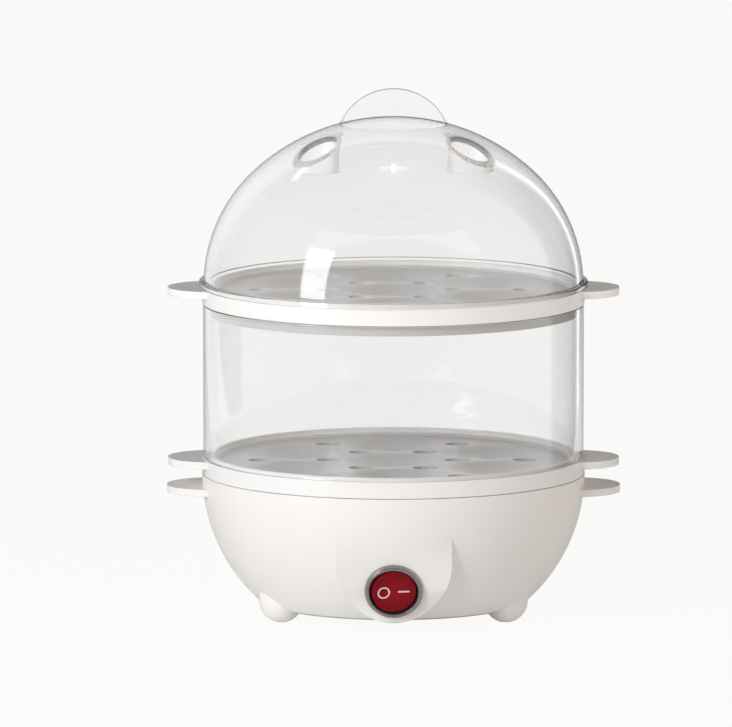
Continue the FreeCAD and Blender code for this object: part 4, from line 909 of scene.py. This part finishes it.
def make_switch():
    """The plated bezel, the red rocker with its marks, and the plunger's spring."""
    section = rounded([tuple(v * MM for v in corner) for corner in BEZEL_MM], steps=4)
    bezel = lathe("bezel", section, steps=160, closed=True)
    shown("plated_bezel", moved(bezel, face_frame()), "plated_chrome", "base", "bezel_chrome", "switch_bezel",
          angle=40)
    place = rocker_frame()
    pocket_middle, pocket_extent = (-5 * MM, 0, -3.35 * MM), (3.1 * MM, 7.3 * MM, 7.4 * MM, 1)
    pocket = reworked(bpy.data.meshes.new("lamp_pocket"), lambda work: bmesh.ops.create_cube(
        work, size=1.0, matrix=Matrix.Translation(pocket_middle) @ Matrix.Diagonal(pocket_extent)))
    cap = joined(rocker_mesh(), ("UNION", rod("stem", radius=2.6 * MM, start=-4.6 * MM, end=0.5 * MM)),
                 ("UNION", moved(rod("pins", radius=1.2 * MM, start=-9.8 * MM, end=9.8 * MM), QUARTER_TURN)),
                 ("DIFFERENCE", rod("spring_bore", radius=1.45 * MM, start=-6 * MM, end=0.2 * MM)),
                 ("DIFFERENCE", pocket))
    shown("red_rocker", moved(cap, place), "tinted_polycarbonate", "rocker", "red_plastic", "switch_rocker")
    lift = 0.03 * MM
    off_mark = mark_mesh("off_mark", inner=1.9 * MM, outer=2.5 * MM, centre=-4.3 * MM, lift=lift)
    on_mark = dash_mesh("on_mark", span=4.7 * MM, width=0.66 * MM, centre=3.65 * MM, lift=lift)
    for mark in (off_mark, on_mark):
        shown(mark.name, moved(mark, place), "pad_print_ink", "rocker", "red_plastic")
    spring = grown("plunger_coil", spring_tree(), {
        "Coil Radius": 0.95 * MM, "Wire Radius": 0.2 * MM, "Turns": 3.2, "Height": 1.75 * MM,
        "Material": finish_of("spring_wire")})
    spring_foot = -1.8 * MM
    spring.transform(place @ Matrix.Translation((0, 0, spring_foot)))
    shown("plunger_coil", spring, "spring_wire", "rocker", "screw_steel", "plunger_spring", angle=60)


# ---------------------------------------------------------------- inside and underneath

def make_dish():
    """The pressed heating dish with its rounded bends and rolled rim."""
    low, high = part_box("heating_dish")
    wall, rim, floor = 1.0 * MM, 63.0 * MM, 54.0 * MM
    under, inner = high.z - wall, low.z + wall
    section = [(0.0, low.z, 0), (floor, low.z, 4 * MM), (rim, under, 1.6 * MM), (high.x, under, 0.3 * MM),
               (high.x, high.z, 0.3 * MM), (rim - wall, high.z, 2.4 * MM), (floor - wall, inner, 3.2 * MM),
               (0.0, inner, 0)]
    mesh = lathe("pressed_dish", rounded(section, steps=8), steps=160)
    shown("pressed_dish", mesh, "polished_stainless", "base", "dish_steel", "heating_dish", angle=40)


# Sizes of each kind of screw, in the order of SCREW_LABELS.
PAN_HEAD_MM = (2.9, 2.9, 1.5, 1.5, 3.2, 0.8, 0.9)
SUNK_HEAD_MM = (2.9, 1.5, 1.2, 1.5, 3.0, 0.8, 0.7)
SMALL_HEAD_MM = (2.3, 2.3, 1.5, 1.5, 2.6, 0.7, 0.8)
CLAMPING_MM = (1.8, 1.8, 1.0, 1.8, 2.4, 0.7, 0.8)


def circle(radius_mm, count, start_degrees, height):
    """Places at even steps round the axis."""
    turns = [math.radians(start_degrees + 360 * k / count) for k in range(count)]
    return [(radius_mm * MM * math.cos(turn), radius_mm * MM * math.sin(turn), height) for turn in turns]


def make_screws():
    """Every screw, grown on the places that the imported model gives."""
    tree = screw_tree()

    def screw_set(replaced, sizes_mm, places, screw_length=None, turn=0.0, finish="zinc_plate",
                  slot="screw_steel"):
        """Screws that are as long as their node is high, unless a length is given."""
        name = replaced.removesuffix("s") + "_set"
        low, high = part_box(replaced)
        values = {label: size * MM for label, size in zip(SCREW_LABELS, sizes_mm)}
        values.update({"Length": screw_length or high.z - low.z, "Turn": (turn, 0.0, 0.0),
                       "Material": finish_of(finish)})
        shown(name, grown(name, tree, values, places), finish, "base", slot, replaced)

    for replaced, sizes_mm, radius_mm, count, start, length_mm in (
            ("deck_screws", PAN_HEAD_MM, 46, 4, 45, 12.0), ("cover_screws", SUNK_HEAD_MM, 33, 3, 30, 6.5)):
        places = circle(radius_mm, count, start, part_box(replaced)[0].z)
        screw_set(replaced, sizes_mm, places, screw_length=length_mm * MM)
    for replaced, sizes_mm, ways, turn in (("clamp_screws", PAN_HEAD_MM, (1, -1), 0.0),
                                           ("thermostat_screws", SMALL_HEAD_MM, (1, -1), 0.0),
                                           ("terminal_screws", CLAMPING_MM, (-1, 0, 1), math.pi)):
        low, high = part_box(replaced)
        spread, level = high.x - sizes_mm[0] * MM, high.z if turn else low.z
        places = [(way * spread, (low.y + high.y) / 2, level) for way in ways]
        screw_set(replaced, sizes_mm, places, turn=turn)
    low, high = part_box("earth_screw")
    screw_set("earth_screw", PAN_HEAD_MM, [((low.x + high.x) / 2, (low.y + high.y) / 2, low.z)],
              finish="tinned_brass", slot="contact_brass")


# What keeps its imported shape. CAD node: (piece, finish, body, slot)
SMOOTH_COPIES = {
    "bottom_cover": ("flush_cover", "matt_polybutylene", "base", "grey_plastic"),
    "deck_ring": ("inner_deck", "matt_polybutylene", "base", "grey_plastic"),
    "dish_seal": ("seal_ring", "silicone_rubber", "base", "silicone_seal"),
    "heat_spreader": ("spreader_plate", "mill_aluminium", "base", "spreader_aluminium"),
    "heating_element": ("tubular_element", "heated_sheath", "base", "element_steel"),
    "element_clamp": ("clamp_bar", "zinc_plate", "base", "clamp_steel"),
    "thermostat": ("disc_thermostat", "drawn_aluminium", "base", "thermostat_metal"),
    "thermal_fuse": ("fuse_can", "drawn_aluminium", "base", "fuse_metal"),
    "fuse_clip": ("fuse_saddle", "zinc_plate", "base", "clamp_steel"),
    "terminal_block": ("wire_block", "milky_polyamide", "base", "grey_plastic"),
    "earth_lug": ("earth_tag", "tinned_brass", "base", "contact_brass"),
    "cord_gland": ("rubber_gland", "moulded_rubber", "base", "rubber_black"),
    "switch_housing": ("switch_body", "black_nylon", "base", "black_plastic"),
    "switch_terminals": ("switch_blades", "tinned_brass", "base", "contact_brass"),
    "switch_plunger": ("rocker_plunger", "natural_acetal", "rocker", "plunger_plastic"),
    "neon_lamp": ("neon_bulb", "lamp_glass", "rocker", "lamp_glass"),
    "contact_lever": ("seesaw_contact", "tinned_brass", "lever", "contact_brass"),
    "lead_live": ("live_lead", "brown_sleeve", "base", "lead_brown"),
    "lead_switched": ("switched_lead", "brown_sleeve", "base", "lead_brown"),
    "lead_element": ("element_lead", "brown_sleeve", "base", "lead_brown"),
    "lead_fuse": ("fuse_lead", "blue_sleeve", "base", "lead_blue"),
    "lead_neutral": ("neutral_lead", "blue_sleeve", "base", "lead_blue"),
    "lead_earth": ("earth_lead", "green_yellow_sleeve", "base", "lead_green"),
}


def make_inner_parts():
    """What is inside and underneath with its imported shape: the same shape, smooth, in its own finish."""
    for node_name, (piece_name, finish, body, slot) in SMOOTH_COPIES.items():
        shown(piece_name, merged(node_name), finish, body, slot, node_name)


# ---------------------------------------------------------------- stage

# Each lamp: width and height, azimuth and elevation in degrees, distance, radiance or the setting that holds
# it, tint, and whether it is only mirrored. A lamp that isn't only mirrored only lights dull surfaces.
COOL, PLAIN = (0.965, 1.0, 1.03), (1.0, 1.0, 1.0)
LAMPS = {
    "key_box": (0.26, 0.5, -31, 17, 1.2, "key", COOL, False),
    "fill_box": (0.5, 0.6, -46, 22, 1.2, "fill", COOL, False),
    "window_box": (0.34, 0.7, -49, 16.2, 1.2, "window", PLAIN, True),
    "ceiling_spot": (0.22, 0.025, 180, 79, 1.3, 2.6, PLAIN, True),
    "ceiling_cross": (0.04, 0.14, 180, 79, 1.31, 2.6, PLAIN, True),
    "rear_spot": (0.14, 0.07, -135, 46, 1.3, 1.6, PLAIN, True),
}
LAMP_TARGET = (0, 0, 100 * MM)

CAMERA_TARGET = (-10.9 * MM, 0, 99.6 * MM)
CAMERA_ELEVATION, CAMERA_DISTANCE = 7.65, 4.5
FOCAL_LENGTH_MM, SENSOR_WIDTH_MM = 557.5, 36.0

# Tones round the object, as (place, tone). The place of a bearing runs from the front (0) by the left (0.25),
# the back (0.5) and the right (0.75) to the front (1), and that of a height from down (0) to up (1).
ROOM_BY_HEIGHT = ((0.0, 0.9), (0.45, 1.0), (0.55, 1.0), (0.66, 0.32), (1.0, 0.1))
ROOM_TINT = (1.0, 0.925, 0.875)
ROOM_BY_BEARING = (
    (0.0, 0.57), (0.12, 0.45), (0.25, 0.5), (0.5, 0.9), (0.75, 1.06), (0.88, 1.06), (1.0, 0.57))
MIRRORED_BY_BEARING = (
    (0.0, 0.5), (0.14, 0.55), (0.25, 0.75), (0.34, 0.85), (0.42, 0.85), (0.5, 0.2), (0.55, 0.02),
    (0.57, 0.02), (0.574, 1.3), (0.585, 1.3), (0.589, 0.02), (0.684, 0.02), (0.689, 0.66), (0.86, 0.55),
    (1.0, 0.5))
MIRRORED_ABOVE, ABOVE_FROM, ABOVE_FULL = (0.42, 0.42, 0.42), 0.45, 0.9
SEEN_THROUGH_BY_HEIGHT = ((0.0, 1.0), (0.62, 1.0), (0.8, 0.7), (1.0, 0.7))
STRAIGHT_BEHIND = ((0.0, 0.0), (0.38, 0.0), (0.44, 1.0), (0.56, 1.0), (0.6, 0.0), (1.0, 0.0))
BACKDROP_LEVEL = 0.957


def point_at(thing, azimuth, elevation, distance, target):
    """Stands a lamp or camera round a target and points it there.

    The azimuth is to the right of the front, and both angles are in degrees."""
    turn, rise = math.radians(azimuth), math.radians(elevation)
    place = Vector(target) + distance * Vector((math.sin(turn) * math.cos(rise),
                                                -math.cos(turn) * math.cos(rise), math.sin(rise)))
    thing.location = place
    thing.rotation_euler = (Vector(target) - place).to_track_quat("-Z", "Y").to_euler()


def make_lamps(stage):
    """The rectangular lamps, each of an even radiance."""
    for name, (width, height, azimuth, elevation, distance, level, tint, mirrored) in LAMPS.items():
        radiance = getattr(stage, level) if isinstance(level, str) else level
        lamp = bpy.data.lights.new(name, "AREA")
        lamp.shape, lamp.size, lamp.size_y = "RECTANGLE", width, height
        lamp.energy, lamp.color = radiance * math.pi * width * height, tint
        stand = placed(name, lamp)
        stand.visible_glossy = stand.visible_transmission = mirrored
        stand.visible_diffuse = not mirrored
        point_at(stand, azimuth, elevation, distance, LAMP_TARGET)


def make_camera():
    """The camera: a long lens, a little above the object."""
    lens = bpy.data.cameras.new("camera")
    lens.lens, lens.sensor_width = FOCAL_LENGTH_MM, SENSOR_WIDTH_MM
    lens.clip_start, lens.clip_end = 0.1, 100.0
    camera = placed("camera", lens)
    point_at(camera, 0, CAMERA_ELEVATION, CAMERA_DISTANCE, CAMERA_TARGET)
    bpy.context.scene.camera = camera


def unscattered(tree, path):
    """1 where the eye sees straight, by mirror or through glass, and 0 for what a dull surface gathers."""
    return node(tree, "ShaderNodeMath", [path.outputs["Diffuse Depth"], 0.5], operation="LESS_THAN")


def make_floor(colours):
    """A pale sheet that runs back behind the object. The eye sees it near white, with a faint shadow."""
    half_width, front, back = 0.36, -0.5, 4.0
    points = [(-half_width, front, 0), (half_width, front, 0), (half_width, back, 0), (-half_width, back, 0)]
    floor = placed("floor", mesh_of("floor", points, [(0, 1, 2, 3)]))
    # Matt paper, rolled out: pale and even. Part of it glows in the backdrop's colour, and the rest is lit.
    material, tree = new_material("pale_paper")
    paper = node(tree, "ShaderNodeBsdfDiffuse", {"Color": (0.86, 0.86, 0.85, 1)})
    glow = node(tree, "ShaderNodeEmission", {"Color": rgba(colours.backdrop), "Strength": 1.0})
    path = node(tree, "ShaderNodeLightPath")
    in_mirrors, to_the_eye, at_least = 0.15, 0.94, 0.13
    mirrored = node(tree, "ShaderNodeMath", [path.outputs["Is Glossy Ray"], in_mirrors], operation="MULTIPLY")
    share = path.outputs["Is Camera Ray"]
    for other, operation in ((path.outputs["Is Transmission Ray"], "MAXIMUM"), (mirrored, "MAXIMUM"),
                             (to_the_eye, "MULTIPLY"), (unscattered(tree, path), "MULTIPLY"),
                             (at_least, "MAXIMUM")):
        share = node(tree, "ShaderNodeMath", [share, other], operation=operation)
    surface = node(tree, "ShaderNodeMixShader", [share, paper, glow])
    floor.data.materials.append(ended(material, tree, surface))


def tone_run(tree, source, low, high, levels, tint=PLAIN):
    """A tone that runs through levels (place, tone) as a source runs from low to high."""
    share = node(tree, "ShaderNodeMapRange", [source, low, high])
    made = node(tree, "ShaderNodeValToRGB", [share])
    elements = made.color_ramp.elements
    while len(elements) < len(levels):
        elements.new(0.5)
    for element, (position, level) in zip(elements, levels):
        element.position = position
        element.color = [level * part for part in tint] + [1.0]
    return made


def make_world(colours, stage):
    """White for the eye, soft warm light for the object, and pale and dark sides for reflections."""
    world = bpy.data.worlds.new("studio")
    bpy.context.scene.world = world
    world.use_nodes = True
    tree = world.node_tree
    tree.nodes.clear()
    direction = node(tree, "ShaderNodeSeparateXYZ", [node(tree, "ShaderNodeTexCoord").outputs["Generated"]])
    across, along, height = (direction.outputs[axis] for axis in "XYZ")
    bearing = node(tree, "ShaderNodeMath", [across, along], operation="ARCTAN2")
    rise = tone_run(tree, height, -1, 1, ROOM_BY_HEIGHT, ROOM_TINT)
    sweep = tone_run(tree, bearing, -math.pi, math.pi, ROOM_BY_BEARING)
    light = node(tree, "ShaderNodeMix", {0: 1.0, MIX_A: rise, MIX_B: sweep}, data_type="RGBA",
                 blend_type="MULTIPLY")
    sides = tone_run(tree, bearing, -math.pi, math.pi, MIRRORED_BY_BEARING)
    upper = tone_run(tree, height, ABOVE_FROM, ABOVE_FULL, ((0.0, 0.0), (1.0, 1.0)))
    mirror = node(tree, "ShaderNodeMix", {0: upper, MIX_A: sides, MIX_B: rgba(MIRRORED_ABOVE)},
                  data_type="RGBA").outputs[MIX_RESULT]
    through = tone_run(tree, height, -1, 1, SEEN_THROUGH_BY_HEIGHT)
    behind = tone_run(tree, bearing, -math.pi, math.pi, STRAIGHT_BEHIND)
    passed = node(tree, "ShaderNodeMix", {0: behind, MIX_A: mirror, MIX_B: through},
                  data_type="RGBA").outputs[MIX_RESULT]
    path = node(tree, "ShaderNodeLightPath")
    straight = unscattered(tree, path)
    shade = node(tree, "ShaderNodeBackground", [light.outputs[MIX_RESULT], stage.room])
    for ray, seen, level in (("Is Glossy Ray", mirror, 1.0), ("Is Transmission Ray", passed, 1.0),
                             ("Is Camera Ray", rgba(colours.backdrop), BACKDROP_LEVEL)):
        background = node(tree, "ShaderNodeBackground", [seen, level])
        share = node(tree, "ShaderNodeMath", [path.outputs[ray], straight], operation="MULTIPLY")
        shade = node(tree, "ShaderNodeMixShader", [share, shade, background])
    node(tree, "ShaderNodeOutputWorld", [shade])


def make_stage():
    """Camera, floor, soft boxes and world."""
    _, colours, stage = settings()
    make_camera()
    make_floor(colours)
    make_lamps(stage)
    make_world(colours, stage)
    bpy.context.scene.view_settings.view_transform = "Standard"


# ---------------------------------------------------------------- operators and panel

class EGGBOILER_OT_stage(bpy.types.Operator):
    """Set the camera, the floor, the lamps and the world"""
    bl_idname = "egg_boiler.stage"
    bl_label = "Stage"

    def execute(self, context):
        make_stage()
        return {"FINISHED"}


class EGGBOILER_OT_base(bpy.types.Operator):
    """Build the moulded base"""
    bl_idname = "egg_boiler.base"
    bl_label = "Base"

    def execute(self, context):
        make_base()
        return {"FINISHED"}


class EGGBOILER_OT_trays(bpy.types.Operator):
    """Build both egg trays"""
    bl_idname = "egg_boiler.trays"
    bl_label = "Egg trays"

    def execute(self, context):
        make_trays()
        return {"FINISHED"}


class EGGBOILER_OT_tier_ring(bpy.types.Operator):
    """Grow the clear ring between the trays"""
    bl_idname = "egg_boiler.tier_ring"
    bl_label = "Clear ring"

    def execute(self, context):
        make_tier_ring()
        return {"FINISHED"}


class EGGBOILER_OT_dome(bpy.types.Operator):
    """Build the clear dome with its vents and grip"""
    bl_idname = "egg_boiler.dome"
    bl_label = "Clear dome"

    def execute(self, context):
        make_dome()
        return {"FINISHED"}


class EGGBOILER_OT_switch(bpy.types.Operator):
    """Build the bezel, the rocker, its marks and its spring"""
    bl_idname = "egg_boiler.switch"
    bl_label = "Rocker switch"

    def execute(self, context):
        make_switch()
        return {"FINISHED"}


class EGGBOILER_OT_dish(bpy.types.Operator):
    """Turn the pressed heating dish"""
    bl_idname = "egg_boiler.dish"
    bl_label = "Heating dish"

    def execute(self, context):
        make_dish()
        return {"FINISHED"}


class EGGBOILER_OT_screws(bpy.types.Operator):
    """Grow every screw"""
    bl_idname = "egg_boiler.screws"
    bl_label = "Screws"

    def execute(self, context):
        make_screws()
        return {"FINISHED"}


class EGGBOILER_OT_inner_parts(bpy.types.Operator):
    """Dress the parts inside and underneath"""
    bl_idname = "egg_boiler.inner_parts"
    bl_label = "Inner parts"

    def execute(self, context):
        make_inner_parts()
        return {"FINISHED"}


OPERATORS = (EGGBOILER_OT_stage, EGGBOILER_OT_base, EGGBOILER_OT_trays, EGGBOILER_OT_tier_ring,
             EGGBOILER_OT_dome, EGGBOILER_OT_switch, EGGBOILER_OT_dish, EGGBOILER_OT_screws,
             EGGBOILER_OT_inner_parts)


class EGGBOILER_PT_panel(bpy.types.Panel):
    """Lists the boiler's sizes, colours, light and build steps"""
    bl_label = "Egg boiler"
    bl_idname = "EGGBOILER_PT_panel"
    bl_space_type = "VIEW_3D"
    bl_region_type = "UI"
    bl_category = "Egg boiler"

    def draw(self, context):
        column = self.layout.column()
        for group in settings():
            for field in group.bl_rna.properties:
                if field.identifier not in {"rna_type", "name"}:
                    column.prop(group, field.identifier)
        for operator in OPERATORS:
            column.operator(operator.bl_idname)


GROUPS = {"egg_boiler_sizes": EggBoilerSizes, "egg_boiler_colours": EggBoilerColours,
          "egg_boiler_stage": EggBoilerStage}


def register():
    """Registers the property groups, the operators and the panel."""
    for name, group in GROUPS.items():
        bpy.utils.register_class(group)
        setattr(bpy.types.Scene, name, PointerProperty(type=group))
    for item in OPERATORS + (EGGBOILER_PT_panel,):
        bpy.utils.register_class(item)


def unregister():
    """Undoes register."""
    for item in (EGGBOILER_PT_panel,) + OPERATORS[::-1]:
        bpy.utils.unregister_class(item)
    for name, group in GROUPS.items():
        delattr(bpy.types.Scene, name)
        bpy.utils.unregister_class(group)


def main():
    """Registers everything and builds the scene step by step."""
    register()
    for operator in OPERATORS:
        family, action = operator.bl_idname.split(".")
        getattr(getattr(bpy.ops, family), action)()


if __name__ == "__main__":
    main()
